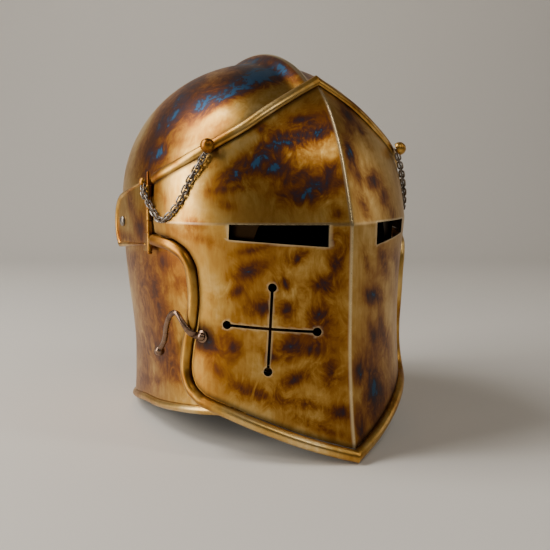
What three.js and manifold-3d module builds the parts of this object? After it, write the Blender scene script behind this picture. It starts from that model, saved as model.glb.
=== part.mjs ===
import * as THREE from "three";
import { mergeVertices } from "three/addons/utils/BufferGeometryUtils.js";
import Module from "manifold-3d";

// A barbute: a steel helmet with a low comb, whose keeled visor lifts on a pivot at each side.
// Millimetres. X runs to the wearer's left, the face looks along -Y and Z is up.
// While it is built, y = 0 is the line through both ears and z = 0 is what the helmet stands on.

// Sheet and clearances
const skullWall = 1.6;
const visorWall = 1.6;
const armWall = 1.8;
const seatGap = 0.3;
const slideGap = 1.1;
const rollGap = 0.45;

// Skull
const skullHalfWidth = 112;
const skullFront = 133;
const skullBack = 141;
const earHeight = 190;
const domeRise = 116.5;
const domeSquareness = 2.1;
const neckRollRadius = 3.5;

// Neck and cheeks below the ears: height is a share of earHeight, width of the skull's own width
const neckSections = [
  { height: 0, width: 0.9, squareness: 2.65 },
  { height: 0.16, width: 0.892, squareness: 2.55 },
  { height: 0.3, width: 0.899, squareness: 2.4 },
  { height: 0.45, width: 0.929, squareness: 2.2 },
  { height: 0.6, width: 0.963, squareness: 2.12 },
  { height: 0.8, width: 0.991, squareness: 2.1 },
  { height: 1, width: 1, squareness: domeSquareness },
];

// Underside of the skull: turn runs from face to nape as a share of a half circle, lift of earHeight
const rimSections = [
  { turn: 0, lift: 0.15 },
  { turn: 0.2, lift: 0.145 },
  { turn: 0.35, lift: 0.125 },
  { turn: 0.5, lift: 0.084 },
  { turn: 0.6, lift: 0.044 },
  { turn: 0.7, lift: 0.013 },
  { turn: 0.78, lift: 0 },
  { turn: 1, lift: 0 },
];

// Face opening of the skull, an arch
const faceHalfWidth = 60;
const faceTop = 212;

// Comb along the middle of the dome
const combHeight = 8;
const combHalfWidth = 14;

// Rise of the comb: turn is the angle over the dome in half circles, from face to nape
const combSections = [
  { turn: 0.13, rise: 0 },
  { turn: 0.2, rise: 0.55 },
  { turn: 0.28, rise: 0.92 },
  { turn: 0.35, rise: 1 },
  { turn: 0.42, rise: 1 },
  { turn: 0.51, rise: 1 },
  { turn: 0.62, rise: 0.97 },
  { turn: 0.73, rise: 0.8 },
  { turn: 0.84, rise: 0.46 },
  { turn: 0.93, rise: 0 },
];

// Visor
const visorSideRoom = 2;
const noseRoom = 24.4;
const sightDrop = 13.5;
const peakDrop = 20.7;
const sideFullness = 3.3;
const visorHalfWidth = skullHalfWidth + visorSideRoom;
const sightReach = skullFront + noseRoom;
const sightHeight = earHeight - sightDrop;
const peakHeight = earHeight + domeRise - peakDrop;

// Visor from the surface it stands on up to the sights: height is a share of sightHeight
const faceSections = [
  { height: 0, reach: 1.061, width: 0.99 },
  { height: 0.062, reach: 1.042, width: 0.98 },
  { height: 0.283, reach: 1.008, width: 0.952 },
  { height: 0.51, reach: 0.994, width: 0.938 },
  { height: 0.691, reach: 0.9936, width: 0.946 },
  { height: 1, reach: 1, width: 1 },
];

// Visor from the sights up to the peak: height is a share of the rise between them
const browSections = [
  { height: 0, reach: 1, width: 1 },
  { height: 0.238, reach: 0.953, width: 0.987 },
  { height: 0.503, reach: 0.889, width: 0.921 },
  { height: 0.778, reach: 0.788, width: 0.754 },
  { height: 1, reach: 0.648, width: 0.544 },
];

// Edges of the visor plate: depth is a share of the reach at that height and is 1 on the keel
const jawEdge = [
  { along: 0, depth: 1, height: 0.06 },
  { along: 0.28, depth: 0.913, height: 0.11 },
  { along: 0.55, depth: 0.815, height: 0.167 },
  { along: 0.82, depth: 0.69, height: 0.227 },
  { along: 1, depth: 0.588, height: 0.262 },
];
const cheekEdge = [
  { along: 0, depth: 0.588, height: 0.262 },
  { along: 0.09, depth: 0.538, height: 0.304 },
  { along: 0.18, depth: 0.516, height: 0.372 },
  { along: 0.3, depth: 0.526, height: 0.46 },
  { along: 0.42, depth: 0.552, height: 0.57 },
  { along: 0.54, depth: 0.568, height: 0.7 },
  { along: 0.64, depth: 0.565, height: 0.795 },
  { along: 0.76, depth: 0.525, height: 0.883 },
  { along: 0.88, depth: 0.41, height: 0.934 },
  { along: 1, depth: 0.29, height: 0.944 },
];
const browEdge = [
  { along: 0, depth: 1, height: 1 },
  { along: 0.13, depth: 0.91, height: 0.9 },
  { along: 0.32, depth: 0.81, height: 0.775 },
  { along: 0.5, depth: 0.73, height: 0.66 },
  { along: 0.68, depth: 0.61, height: 0.535 },
  { along: 0.85, depth: 0.46, height: 0.42 },
  { along: 1, depth: 0.29, height: 0.33 },
];

// Sights: a slit at each side of the keel, taller towards it
const sightSlits = [
  { side: -1, front: 15.5, rear: 77.5, frontDepth: 16.5, rearDepth: 11.5 },
  { side: 1, front: 32, rear: 79, frontDepth: 17.5, rearDepth: 11.5 },
];

// Breath: a pierced cross with round ends on the right cheek
const crossDepth = 0.818;
const crossDrop = 77;
const crossSlot = 2.2;
const crossHole = 3.3;
const crossTilt = 3;
const crossArms = [
  { turn: 0, length: 33 },
  { turn: 90, length: 30.8 },
  { turn: 180, length: 34.4 },
  { turn: 270, length: 32.2 },
];

// Borders of the visor
const visorRollRadius = 4.6;
const visorRollStand = 1.7;
const mouldingWidth = 8.4;
const mouldingHeight = 3.4;

// Pivots and arms: lengths from the pivot's own axis
const pivotBehindEar = 21;
const pivotBelowEar = 17.3;
const pivotRadius = 2.5;
const pivotHeadRadius = 4.5;
const pivotHeadHeight = 2.4;
const pivotTailRoom = 1.2;
const armBack = 20.6;
const armTopBack = 25;
const armTopFront = 36;
const armBottomBack = 23;
const armBottomFront = 16;
const armRimWidth = 4.4;
const armRimHeight = 1.5;

// Pinned hinges between the arms and the visor
const hingeAhead = 37.6;
const hingeGap = 2.5;
const pinRadius = 1.1;
const knuckleRadius = 2.1;
const knuckleHeight = 9;
const hingeFoot = 6;
const leafLength = 12;
const leafHeight = 14;
const leafWall = 0.8;
const pinStand = 10;
const pinFoot = 1.5;

// Chains from the arms to the moulding, each with a ball or a domed head at its ends
const chainRadius = 1.6;
const chainGap = 0.4;
const chainHeadRadius = 4.2;
const chainHeadInset = 2.8;
const chainBallRadius = 5.4;
const chainBallFoot = 0.3;
const chainNeckRadius = 0.8;
const chainNeckLength = 1.7;
const chainBallAlong = 0.665;
const chainBallInset = 0.95;
const chainBallMiddle = chainNeckLength + 0.43 * chainBallRadius;

// Route of a chain over the visor: depth as on its edges, height above the sights, out from its surface
const chainRoute = [
  { depth: 0.27, height: 20.5, out: 6.2 },
  { depth: 0.3, height: 13.5, out: 4.4 },
  { depth: 0.333, height: 7.2, out: 3.2 },
  { depth: 0.362, height: 2.8, out: 3 },
  { depth: 0.39, height: 1, out: 3 },
  { depth: 0.43, height: 2.8, out: 3 },
  { depth: 0.482, height: 9.3, out: 3 },
  { depth: 0.525, height: 18.1, out: 3 },
  { depth: 0.562, height: 29.7, out: 3 },
  { depth: 0.592, height: 38, out: 3.6 },
];

// Latch hook, riveted to the right cheek: lengths back, up and out from its stud
const hookDepth = 0.576;
const hookDrop = 85.7;
const hookRadius = 2.1;
const hookBallRadius = 4;
const hookPalmRadius = 4.8;
const hookPalmWall = 1.6;

// Line of the hook, with its width and thickness as shares of its round part
const hookRoute = [
  { back: 3.4, up: 0.2, out: 1.1, wide: 1.5, thick: 0.38 },
  { back: 5, up: 0.8, out: 2.6, wide: 1.5, thick: 0.42 },
  { back: 6.4, up: 2, out: 5, wide: 1.4, thick: 0.45 },
  { back: 9, up: 4.8, out: 7, wide: 1.2, thick: 0.7 },
  { back: 13.4, up: 11.5, out: 8, wide: 1, thick: 1 },
  { back: 19.5, up: 17.4, out: 7, wide: 1, thick: 1 },
  { back: 25.8, up: 15.2, out: 5, wide: 1, thick: 1 },
  { back: 32, up: 7.2, out: 2, wide: 1, thick: 1 },
  { back: 37.5, up: -7, out: -1.5, wide: 1, thick: 1 },
  { back: 45, up: -17, out: -4.5, wide: 1, thick: 1 },
];
const studRadius = 1.5;
const studHeadRadius = 3.3;
const studHeadHeight = 3;

// How finely round forms are divided
const skullColumns = 32;
const armFaceTurns = 72;
const rodSides = 8;
const roundSides = 10;

const wasm = await Module();
wasm.setup();

const pi = Math.PI;
const vector = (x, y, z) => new THREE.Vector3(x, y, z);
const mix = THREE.MathUtils.lerp;
const shiftedFrom = (point, direction, length) => point.clone().addScaledVector(direction, length);
const mirroredPoint = (point) => vector(-point.x, point.y, point.z);

// Value of a table's column where its key has the given value, on a smooth curve that never overshoots a row
function readTable(rows, key, column, value) {
  let first = 0;
  while (first < rows.length - 2 && value > rows[first + 1][key]) first += 1;
  const secant = (index) => {
    const [before, after] = [rows[index], rows[index + 1]];
    return (after[column] - before[column]) / (after[key] - before[key]);
  };
  const slopeAt = (index) => {
    const [before, after] = [secant(Math.max(index - 1, 0)), secant(Math.min(index, rows.length - 2))];
    return before * after > 0 ? (2 * before * after) / (before + after) : 0;
  };
  const start = rows[first];
  const end = rows[first + 1];
  const span = end[key] - start[key];
  const t = (value - start[key]) / span;
  const swing = t * t * (3 - 2 * t);
  const leave = t * (1 - t) * (1 - t) * span * slopeAt(first);
  const arrive = t * t * (t - 1) * span * slopeAt(first + 1);
  return mix(start[column], end[column], swing) + leave + arrive;
}

// Closed surface from points and triangles, turned to face outwards
function closedSurface(points, triangles) {
  let volume = 0;
  for (const [a, b, c] of triangles) {
    volume += points[a].dot(points[b].clone().cross(points[c]));
  }
  const outward = volume < 0 ? triangles.map(([a, b, c]) => [a, c, b]) : triangles;
  const geometry = new THREE.BufferGeometry();
  geometry.setAttribute("position", new THREE.Float32BufferAttribute(points.flatMap((p) => p.toArray()), 3));
  geometry.setIndex(outward.flat());
  return geometry;
}

// Two triangles for each cell of a grid of point numbers
function gridTriangles(grid) {
  const triangles = [];
  for (let row = 0; row < grid.length - 1; row += 1) {
    for (let column = 0; column < grid[row].length - 1; column += 1) {
      const [a, b] = [grid[row][column], grid[row][column + 1]];
      const [c, d] = [grid[row + 1][column + 1], grid[row + 1][column]];
      triangles.push([a, b, c], [a, c, d]);
    }
  }
  return triangles;
}

// Plate between an outer and an inner grid of points, closed along its four edges
function plateSurface(outer, inner) {
  const points = [...outer.flat(), ...inner.flat()];
  const width = outer[0].length;
  const numbers = (offset) => outer.map((row, r) => row.map((point, c) => offset + r * width + c));
  const front = numbers(0);
  const back = numbers(outer.length * width);
  const last = outer.length - 1;
  const edge = (grid) => [
    ...grid[0],
    ...grid.slice(1, last).map((row) => row[width - 1]),
    ...[...grid[last]].reverse(),
    ...grid.slice(1, last).map((row) => row[0]).reverse(),
    grid[0][0],
  ];
  const triangles = [
    ...gridTriangles(front),
    ...gridTriangles(back).map(([a, b, c]) => [a, c, b]),
    ...gridTriangles([edge(back), edge(front)]),
  ];
  return closedSurface(points, triangles);
}

// Bar through a row of rings of points, with flat ends
function barSurface(rings) {
  const sides = rings[0].length;
  const grid = rings.map((ring, r) => [...ring.keys(), 0].map((k) => r * sides + k));
  const triangles = gridTriangles(grid);
  const lastStart = (rings.length - 1) * sides;
  for (let k = 1; k < sides - 1; k += 1) {
    triangles.push([0, k + 1, k], [lastStart, lastStart + k, lastStart + k + 1]);
  }
  return closedSurface(rings.flat(), triangles);
}

// A section's corners, [across, out] each, set up at a station of a bar
function ringAt({ point, across, out }, section) {
  return section.map(([a, o]) => shiftedFrom(shiftedFrom(point, across, a), out, o));
}

// Stations of a bar along points, whose section stands on the given outward directions
function stationsAlong(points, outs) {
  return points.map((point, index) => {
    const before = points[Math.max(index - 1, 0)];
    const after = points[Math.min(index + 1, points.length - 1)];
    const ahead = after.clone().sub(before).normalize();
    const across = ahead.clone().cross(outs[index]).normalize();
    const out = across.clone().cross(ahead).normalize();
    return { point, ahead, across, out };
  });
}

// Rings of a bar that runs to the middle plane, meets its mirror image there and goes on down the other side
function mitredRings(stations, section) {
  const rings = stations.map((station) => ringAt(station, section));
  const last = stations.length - 1;
  rings[last] = rings[last].map((corner) => {
    const step = corner.x / stations[last].ahead.x;
    return shiftedFrom(corner, stations[last].ahead, -step).setX(0);
  });
  return [...rings, ...rings.slice(0, -1).reverse().map((ring) => ring.map(mirroredPoint))];
}

function rodSection(radius, sides = rodSides) {
  const corner = radius / Math.cos(pi / sides);
  return Array.from({ length: sides }, (unused, k) => {
    const angle = ((k + 0.5) * 2 * pi) / sides;
    return [corner * Math.cos(angle), corner * Math.sin(angle)];
  });
}

// Solid that can be joined and cut, from a closed surface
function solidOf(geometry) {
  const bare = geometry.clone();
  bare.deleteAttribute("normal");
  bare.deleteAttribute("uv");
  const merged = mergeVertices(bare, 1e-4);
  const corners = merged.index.array;
  const kept = [];
  for (let k = 0; k < corners.length; k += 3) {
    const [a, b, c] = [corners[k], corners[k + 1], corners[k + 2]];
    if (a !== b && b !== c && c !== a) kept.push(a, b, c);
  }
  const vertProperties = new Float32Array(merged.attributes.position.array);
  return new wasm.Manifold(new wasm.Mesh({ numProp: 3, vertProperties, triVerts: new Uint32Array(kept) }));
}

function surfaceOf(solid) {
  const mesh = solid.getMesh();
  const geometry = new THREE.BufferGeometry();
  geometry.setAttribute("position", new THREE.BufferAttribute(mesh.vertProperties, 3));
  geometry.setIndex(new THREE.BufferAttribute(mesh.triVerts, 1));
  return geometry;
}

const joined = (geometries) => geometries.map(solidOf).reduce((whole, piece) => whole.add(piece));

// Turned shape about a line through a point: profile rows are [radius, height along the line]
function turnedSurface(profile, point, direction, sides = roundSides) {
  const geometry = new THREE.LatheGeometry(profile.map(([r, h]) => new THREE.Vector2(r, h)), sides);
  const turn = new THREE.Quaternion().setFromUnitVectors(vector(0, 1, 0), direction);
  return geometry.applyQuaternion(turn).translate(point.x, point.y, point.z);
}

function roundBar(radius, low, high, point, direction, sides = roundSides) {
  return turnedSurface([[0, low], [radius, low], [radius, high], [0, high]], point, direction, sides);
}

function boxBetween(low, high) {
  const size = high.clone().sub(low);
  const middle = low.clone().add(high).multiplyScalar(0.5);
  return new THREE.BoxGeometry(size.x, size.y, size.z).translate(middle.x, middle.y, middle.z);
}

// The same piece on the other side of the helmet
function mirroredSurface(geometry) {
  const bare = geometry.clone();
  bare.deleteAttribute("normal");
  bare.deleteAttribute("uv");
  const merged = mergeVertices(bare, 1e-4);
  const { position } = merged.attributes;
  const points = Array.from({ length: position.count }, (unused, k) =>
    mirroredPoint(vector().fromBufferAttribute(position, k)));
  const corners = [...merged.index.array];
  const triangles = Array.from({ length: corners.length / 3 }, (unused, k) => corners.slice(3 * k, 3 * k + 3));
  return closedSurface(points, triangles.filter(([a, b, c]) => a !== b && b !== c && c !== a));
}

// Size and squareness of the skull's plan at a height
function skullPlan(height) {
  if (height >= earHeight) {
    const rise = Math.min((height - earHeight) / domeRise, 1);
    return { share: Math.sqrt(1 - rise * rise), squareness: domeSquareness };
  }
  const level = height / earHeight;
  return {
    share: readTable(neckSections, "height", "width", level),
    squareness: readTable(neckSections, "height", "squareness", level),
  };
}

const rimLift = (turn) => earHeight * readTable(rimSections, "turn", "lift", turn);

// Point of the skull: angle 0 looks forward, level runs from -1 on the edge past 0 at the ears to 1 on top
function skullPoint(angle, level) {
  const turn = Math.abs(Math.atan2(Math.sin(angle), Math.cos(angle))) / pi;
  const edgeHeight = rimLift(turn) + 2 * neckRollRadius + seatGap;
  const rise = Math.sin(level * pi / 2);
  const height = level < 0 ? mix(earHeight, edgeHeight, -level) : earHeight + domeRise * rise;
  const plan = skullPlan(height);
  const share = level < 0 ? plan.share : Math.cos(level * pi / 2);
  const power = 2 / plan.squareness;
  const spread = (value) => Math.sign(value) * Math.abs(value) ** power * share;
  const reach = Math.cos(angle) > 0 ? skullFront : skullBack;
  return vector(skullHalfWidth * spread(Math.sin(angle)), -reach * spread(Math.cos(angle)), height);
}

function skullInner(angle, level) {
  const step = 0.01;
  const around = skullPoint(angle + step, level).sub(skullPoint(angle - step, level));
  const upwards = skullPoint(angle, Math.min(level + step, 0.999)).sub(skullPoint(angle, Math.max(level - step, -1)));
  const normal = around.cross(upwards).normalize();
  const inner = shiftedFrom(skullPoint(angle, level), normal, -skullWall);
  return level > -1 ? inner : inner.setZ(skullPoint(angle, level).z);
}

// Half width of the skull where a side view sees the given place
function skullSide(y, height) {
  const { share, squareness } = skullPlan(height);
  const ratio = Math.abs(y) / ((y < 0 ? skullFront : skullBack) * share);
  return ratio < 1 ? skullHalfWidth * share * (1 - ratio ** squareness) ** (1 / squareness) : 0;
}

// Middle line over the dome: turn 0 looks forward and 1 looks back
function combPlace(turn) {
  const angle = turn * pi;
  const reach = turn < 0.5 ? skullFront : skullBack;
  const point = vector(0, -reach * Math.cos(angle), earHeight + domeRise * Math.sin(angle));
  const out = vector(0, -Math.cos(angle) / reach, Math.sin(angle) / domeRise).normalize();
  return { point, out };
}

function combBar(halfWidth, foot, riseAt) {
  const places = combSections.map(({ turn }) => combPlace(turn));
  const rings = places.map(({ point, out }, index) => {
    const rise = riseAt(combHeight * combSections[index].rise);
    const section = [
      [-halfWidth, -foot],
      [-0.5 * halfWidth, mix(-foot, rise, 0.6)],
      [-0.16 * halfWidth, mix(-foot, rise, 0.95)],
      [0.16 * halfWidth, mix(-foot, rise, 0.95)],
      [0.5 * halfWidth, mix(-foot, rise, 0.6)],
      [halfWidth, -foot],
    ];
    return ringAt({ point, across: vector(1, 0, 0), out }, section);
  });
  return barSurface(rings);
}

function domeSurface() {
  const levels = [-1, -0.8, -0.6, -0.4, -0.18, 0, 0.15, 0.3, 0.45, 0.59, 0.73, 0.87];
  const angles = Array.from({ length: skullColumns }, (unused, k) => (k * 2 * pi) / skullColumns);
  const outer = levels.map((level) => angles.map((angle) => skullPoint(angle, level)));
  const inner = levels.map((level) => angles.map((angle) => skullInner(angle, level)));
  const top = vector(0, 0, earHeight + domeRise);
  const points = [...outer.flat(), ...inner.flat(), top, shiftedFrom(top, vector(0, 0, 1), -skullWall)];
  const ringNumbers = (start) => levels.map((level, row) =>
    [...angles.keys(), 0].map((column) => start + row * skullColumns + column));
  const outerRows = ringNumbers(0);
  const innerRows = ringNumbers(levels.length * skullColumns);
  const triangles = [
    ...gridTriangles(outerRows),
    ...gridTriangles(innerRows).map(([a, b, c]) => [a, c, b]),
    ...gridTriangles([innerRows[0], outerRows[0]]),
  ];
  const [outerLast, innerLast] = [outerRows.at(-1), innerRows.at(-1)];
  for (let column = 0; column < skullColumns; column += 1) {
    triangles.push([outerLast[column], outerLast[column + 1], points.length - 2]);
    triangles.push([innerLast[column + 1], innerLast[column], points.length - 1]);
  }
  return closedSurface(points, triangles);
}

// Arch cut through the front of the skull
function faceCutter() {
  const shape = new THREE.Shape();
  shape.moveTo(-faceHalfWidth, -1);
  shape.lineTo(faceHalfWidth, -1);
  shape.lineTo(faceHalfWidth, faceTop - faceHalfWidth);
  shape.absarc(0, faceTop - faceHalfWidth, faceHalfWidth, 0, pi, false);
  shape.closePath();
  const depth = 2 * skullFront;
  const cutter = new THREE.ExtrudeGeometry(shape, { depth, bevelEnabled: false, curveSegments: roundSides });
  return cutter.rotateX(pi / 2);
}

const pivotPoint = vector(0, pivotBehindEar, earHeight - pivotBelowEar);

function makeSkull() {
  const holeRadius = pivotRadius + seatGap;
  const holes = roundBar(holeRadius, -2 * skullHalfWidth, 2 * skullHalfWidth, pivotPoint, vector(1, 0, 0));
  const combFoot = 1.5 * skullWall;
  const combSheet = 1.2 * skullWall;
  const ridge = combBar(combHalfWidth, combFoot, (rise) => rise);
  const hollow = combBar(combHalfWidth - 2 * skullWall, 3 * skullWall, (rise) => rise - combSheet);
  const solid = joined([domeSurface(), ridge]).subtract(solidOf(hollow));
  return surfaceOf(solid.subtract(solidOf(faceCutter())).subtract(solidOf(holes)));
}

// Rolled edge under the skull, from one side of the face opening round the nape to the other
function makeNeckRoll() {
  let [low, high] = [0, pi / 2];
  for (let step = 0; step < 40; step += 1) {
    const middle = (low + high) / 2;
    if (skullPoint(middle, -1).x < faceHalfWidth) low = middle;
    else high = middle;
  }
  const count = skullColumns - 5;
  const points = Array.from({ length: count }, (unused, k) => {
    const angle = mix(high, 2 * pi - high, k / (count - 1));
    const middle = skullPoint(angle, -1).lerp(skullInner(angle, -1), 0.5);
    return shiftedFrom(middle, vector(0, 0, 1), -seatGap - neckRollRadius);
  });
  const stations = stationsAlong(points, points.map(() => vector(0, 0, 1)));
  return barSurface(stations.map((station) => ringAt(station, rodSection(neckRollRadius))));
}

// Reach and half width of the visor at a height
function visorSection(height) {
  const below = height < sightHeight;
  const rows = below ? faceSections : browSections;
  const level = below ? height / sightHeight : (height - sightHeight) / (peakHeight - sightHeight);
  return {
    reach: sightReach * readTable(rows, "height", "reach", level),
    halfWidth: visorHalfWidth * readTable(rows, "height", "width", level),
  };
}

// Point on the outside of the visor's right half
function visorPoint(depth, height) {
  const { reach, halfWidth } = visorSection(height);
  return vector(-halfWidth * (1 - Math.min(depth, 1) ** sideFullness), -depth * reach, height);
}

function visorNormal(depth, height) {
  const step = 0.01;
  const back = visorPoint(Math.max(depth - step, 0), height).sub(visorPoint(Math.min(depth + step, 1), height));
  const lowest = height > sightHeight ? sightHeight : 0;
  const highest = height > sightHeight ? peakHeight : sightHeight;
  const upper = visorPoint(depth, Math.min(height + 1, highest));
  const upwards = upper.sub(visorPoint(depth, Math.max(height - 1, lowest)));
  return upwards.cross(back).normalize();
}

// Directions on the visor at a place: back along it, up it and out from it
function visorFrame(depth, height) {
  const point = visorPoint(depth, height);
  const out = visorNormal(depth, height);
  const back = out.clone().cross(vector(0, 0, 1)).normalize();
  return { point, out, back, up: back.clone().cross(out).normalize() };
}

// Places of the visor's edges, each a depth and a height
const hingeEdgeDepth = (height) => (hingeAhead + hingeGap) / visorSection(height).reach;
const jawPlace = (along) => ({
  depth: readTable(jawEdge, "along", "depth", along),
  height: sightHeight * readTable(jawEdge, "along", "height", along),
});
const cheekPlace = (along) => {
  const height = sightHeight * readTable(cheekEdge, "along", "height", along);
  const depth = readTable(cheekEdge, "along", "depth", along);
  return { depth: Math.max(depth, hingeEdgeDepth(height)), height };
};
const browPlace = (along) => {
  const height = mix(sightHeight, peakHeight, readTable(browEdge, "along", "height", along));
  const depth = readTable(browEdge, "along", "depth", along);
  return { depth: along < 1 ? Math.max(depth, hingeEdgeDepth(height)) : hingeEdgeDepth(height), height };
};

// Places inside four edges, blended from them: keel at across 0, rear at across 1
function blendedPlace(bottom, top, keel, rear, across, up) {
  const blend = (column) => {
    const [low, high] = [bottom(across)[column], top(across)[column]];
    const [near, far] = [keel(up)[column], rear(up)[column]];
    const lowCorners = mix(bottom(0)[column], bottom(1)[column], across);
    const highCorners = mix(top(0)[column], top(1)[column], across);
    return mix(low, high, up) + mix(near, far, across) - mix(lowCorners, highCorners, up);
  };
  return { depth: blend("depth"), height: blend("height") };
}

const visorColumns = [0, 0.08, 0.18, 0.3, 0.43, 0.57, 0.71, 0.85, 1];
const cheekRows = [0, 0.09, 0.18, 0.3, 0.42, 0.54, 0.64, 0.76, 0.88, 1];
const browRows = [0.33, 0.67, 1];

function visorPlaces(columns, lowerRows, upperRows) {
  const sightLine = (along) => ({ depth: mix(1, hingeEdgeDepth(sightHeight), along), height: sightHeight });
  const lowerKeel = (up) => ({ depth: 1, height: mix(jawPlace(0).height, sightHeight, up) });
  const cheekShare = 0.93;
  const lowerRear = (up) => {
    if (up <= cheekShare) return cheekPlace(up / cheekShare);
    const height = mix(cheekPlace(1).height, sightHeight, (up - cheekShare) / (1 - cheekShare));
    return { depth: hingeEdgeDepth(height), height };
  };
  const upperKeel = (up) => ({ depth: 1, height: mix(sightHeight, peakHeight, up) });
  const upperRear = (up) => {
    const height = mix(sightHeight, browPlace(1).height, up);
    return { depth: hingeEdgeDepth(height), height };
  };
  const lower = [...lowerRows.map((up) => up * cheekShare), 1];
  return [
    ...lower.map((up) => columns.map((across) =>
      blendedPlace(jawPlace, sightLine, lowerKeel, lowerRear, across, up))),
    ...upperRows.map((up) => columns.map((across) =>
      blendedPlace(sightLine, browPlace, upperKeel, upperRear, across, up))),
  ];
}

function visorInner({ depth, height }) {
  const point = visorPoint(depth, height);
  const normal = visorNormal(depth, height);
  if (depth < 1) return shiftedFrom(point, normal, -visorWall);
  const ridge = vector(0, normal.y, normal.z);
  return shiftedFrom(point, ridge, -visorWall / ridge.lengthSq());
}

// Both halves of a row of points, joined at the keel
const wholeRow = (row) => [...[...row].reverse(), ...row.slice(1).map(mirroredPoint)];

// Sight slit: taller towards the keel, with its upper edge on the brow crease
function slitCutter({ side, front, rear, frontDepth, rearDepth }) {
  const shape = new THREE.Shape();
  shape.moveTo(side * front, sightHeight);
  shape.lineTo(side * rear, sightHeight);
  shape.lineTo(side * rear, sightHeight - rearDepth);
  shape.lineTo(side * front, sightHeight - frontDepth);
  shape.closePath();
  const cutter = new THREE.ExtrudeGeometry(shape, { depth: 2 * sightReach, bevelEnabled: false });
  return cutter.rotateX(pi / 2);
}

function crossCutter() {
  const { point, out, back, up } = visorFrame(crossDepth, sightHeight - crossDrop);
  const through = 30;
  const pieces = crossArms.flatMap(({ turn, length }) => {
    const angle = THREE.MathUtils.degToRad(turn + crossTilt);
    const along = back.clone().multiplyScalar(Math.cos(angle)).addScaledVector(up, Math.sin(angle));
    const across = out.clone().cross(along);
    const half = crossSlot / 2;
    const section = [[-half, -through], [half, -through], [half, through], [-half, through]];
    const stations = [-half, length].map((reach) => ({ point: shiftedFrom(point, along, reach), across, out }));
    return [
      barSurface(stations.map((station) => ringAt(station, section))),
      roundBar(crossHole, -through, through, shiftedFrom(point, along, length), out, roundSides),
    ];
  });
  return joined(pieces);
}

const hookFrame = () => visorFrame(hookDepth, sightHeight - hookDrop);

// Knuckles of a hinge, bottom to top, the arm's and the visor's in turn
function knuckleSpans() {
  const start = cheekPlace(1).height - knuckleHeight;
  return [0, 1, 2, 3, 4].map((k) => {
    const low = start + k * (knuckleHeight + seatGap);
    return { low: k > 0 ? low : low - hingeFoot, high: low + knuckleHeight, onArm: k % 2 === 0 };
  });
}

// Inner face of an arm: clear of the skull all the way round its pivot, and flat as far as the skull's widest place
function armFace(radius) {
  const clearRadius = Math.max(radius, Math.hypot(pivotBehindEar, pivotBelowEar));
  const turns = Array.from({ length: armFaceTurns }, (unused, k) => (k * 2 * pi) / armFaceTurns);
  const sides = turns.map((turn) =>
    skullSide(pivotPoint.y + clearRadius * Math.cos(turn), pivotPoint.z + clearRadius * Math.sin(turn)));
  return Math.max(...sides) + slideGap;
}

const pinRadiusFromPivot = hingeAhead + pivotBehindEar;
const pinBase = vector(-armFace(pinRadiusFromPivot) - knuckleRadius, -hingeAhead, 0);
const upright = vector(0, 0, 1);

// Barrel and tab of one knuckle: reach is the signed length from the pin to inside its plate
function knuckleSurfaces({ low, high }, reach, plateX) {
  const halfTab = 0.6;
  const [near, far] = [pinBase.y, pinBase.y + reach].sort((a, b) => a - b);
  return [
    roundBar(knuckleRadius, low, high, pinBase, upright, rodSides),
    boxBetween(vector(plateX - halfTab, near, low), vector(plateX + halfTab, far, high)),
  ];
}

const pinHole = () => roundBar(pinRadius + seatGap, 0, 2 * earHeight, pinBase, upright, rodSides);
const onBothSides = (geometries) => [...geometries, ...geometries.map((piece) => mirroredSurface(piece))];

function makeVisor() {
  const places = visorPlaces(visorColumns, cheekRows, browRows);
  const outer = places.map((row) => wholeRow(row.map(({ depth, height }) => visorPoint(depth, height))));
  const inner = places.map((row) => wholeRow(row.map(visorInner)));
  const knuckles = knuckleSpans().filter(({ onArm }) => !onArm).flatMap((span) => {
    const height = (span.low + span.high) / 2;
    const plateX = visorPoint(hingeEdgeDepth(height), height).x + visorWall / 2;
    return knuckleSurfaces(span, -hingeGap - visorWall, plateX);
  });
  const { point, out } = hookFrame();
  const studHole = roundBar(studRadius + seatGap, -4 * visorWall, 4 * visorWall, point, out);
  const whole = joined([plateSurface(outer, inner), ...onBothSides(knuckles)]);
  const cuts = joined([...sightSlits.map(slitCutter), studHole, ...onBothSides([pinHole()])]);
  return surfaceOf(whole.subtract(cuts).subtract(crossCutter()));
}

// Rolled edge of the visor: down each cheek and along the jaw to the chin
function makeVisorRoll() {
  const places = [...[...cheekRows].reverse().map(cheekPlace), ...[...visorColumns].reverse().slice(1).map(jawPlace)];
  const outs = places.map(({ depth, height }) => visorNormal(Math.min(depth, 0.995), height));
  const edge = places.map(({ depth, height }, k) =>
    shiftedFrom(visorPoint(depth, height), outs[k], visorRollStand - visorWall / 2));
  const centred = stationsAlong(edge, outs).map((station) =>
    ({ ...station, point: shiftedFrom(station.point, station.across, visorRollRadius + rollGap) }));
  return barSurface(mitredRings(centred, rodSection(visorRollRadius)));
}

// Half round bar on a face: corners run across from one foot to the other, with their heights
const mouldingSection = (width, height, foot) => [
  [0, foot],
  [width, foot],
  [0.92 * width, 0.55 * height],
  [0.68 * width, 0.95 * height],
  [0.32 * width, 0.95 * height],
  [0.08 * width, 0.55 * height],
];

// Moulding along the brow, on top of the plate's edge
function makeBrowMoulding() {
  const alongs = [...visorColumns].reverse();
  const places = alongs.map(browPlace);
  const outs = places.map(({ depth, height }) => visorNormal(Math.min(depth, 0.99), height));
  const edge = places.map(({ depth, height }) => visorPoint(depth, height));
  const section = mouldingSection(mouldingWidth, mouldingHeight, seatGap);
  return barSurface(mitredRings(stationsAlong(edge, outs), section));
}

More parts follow.
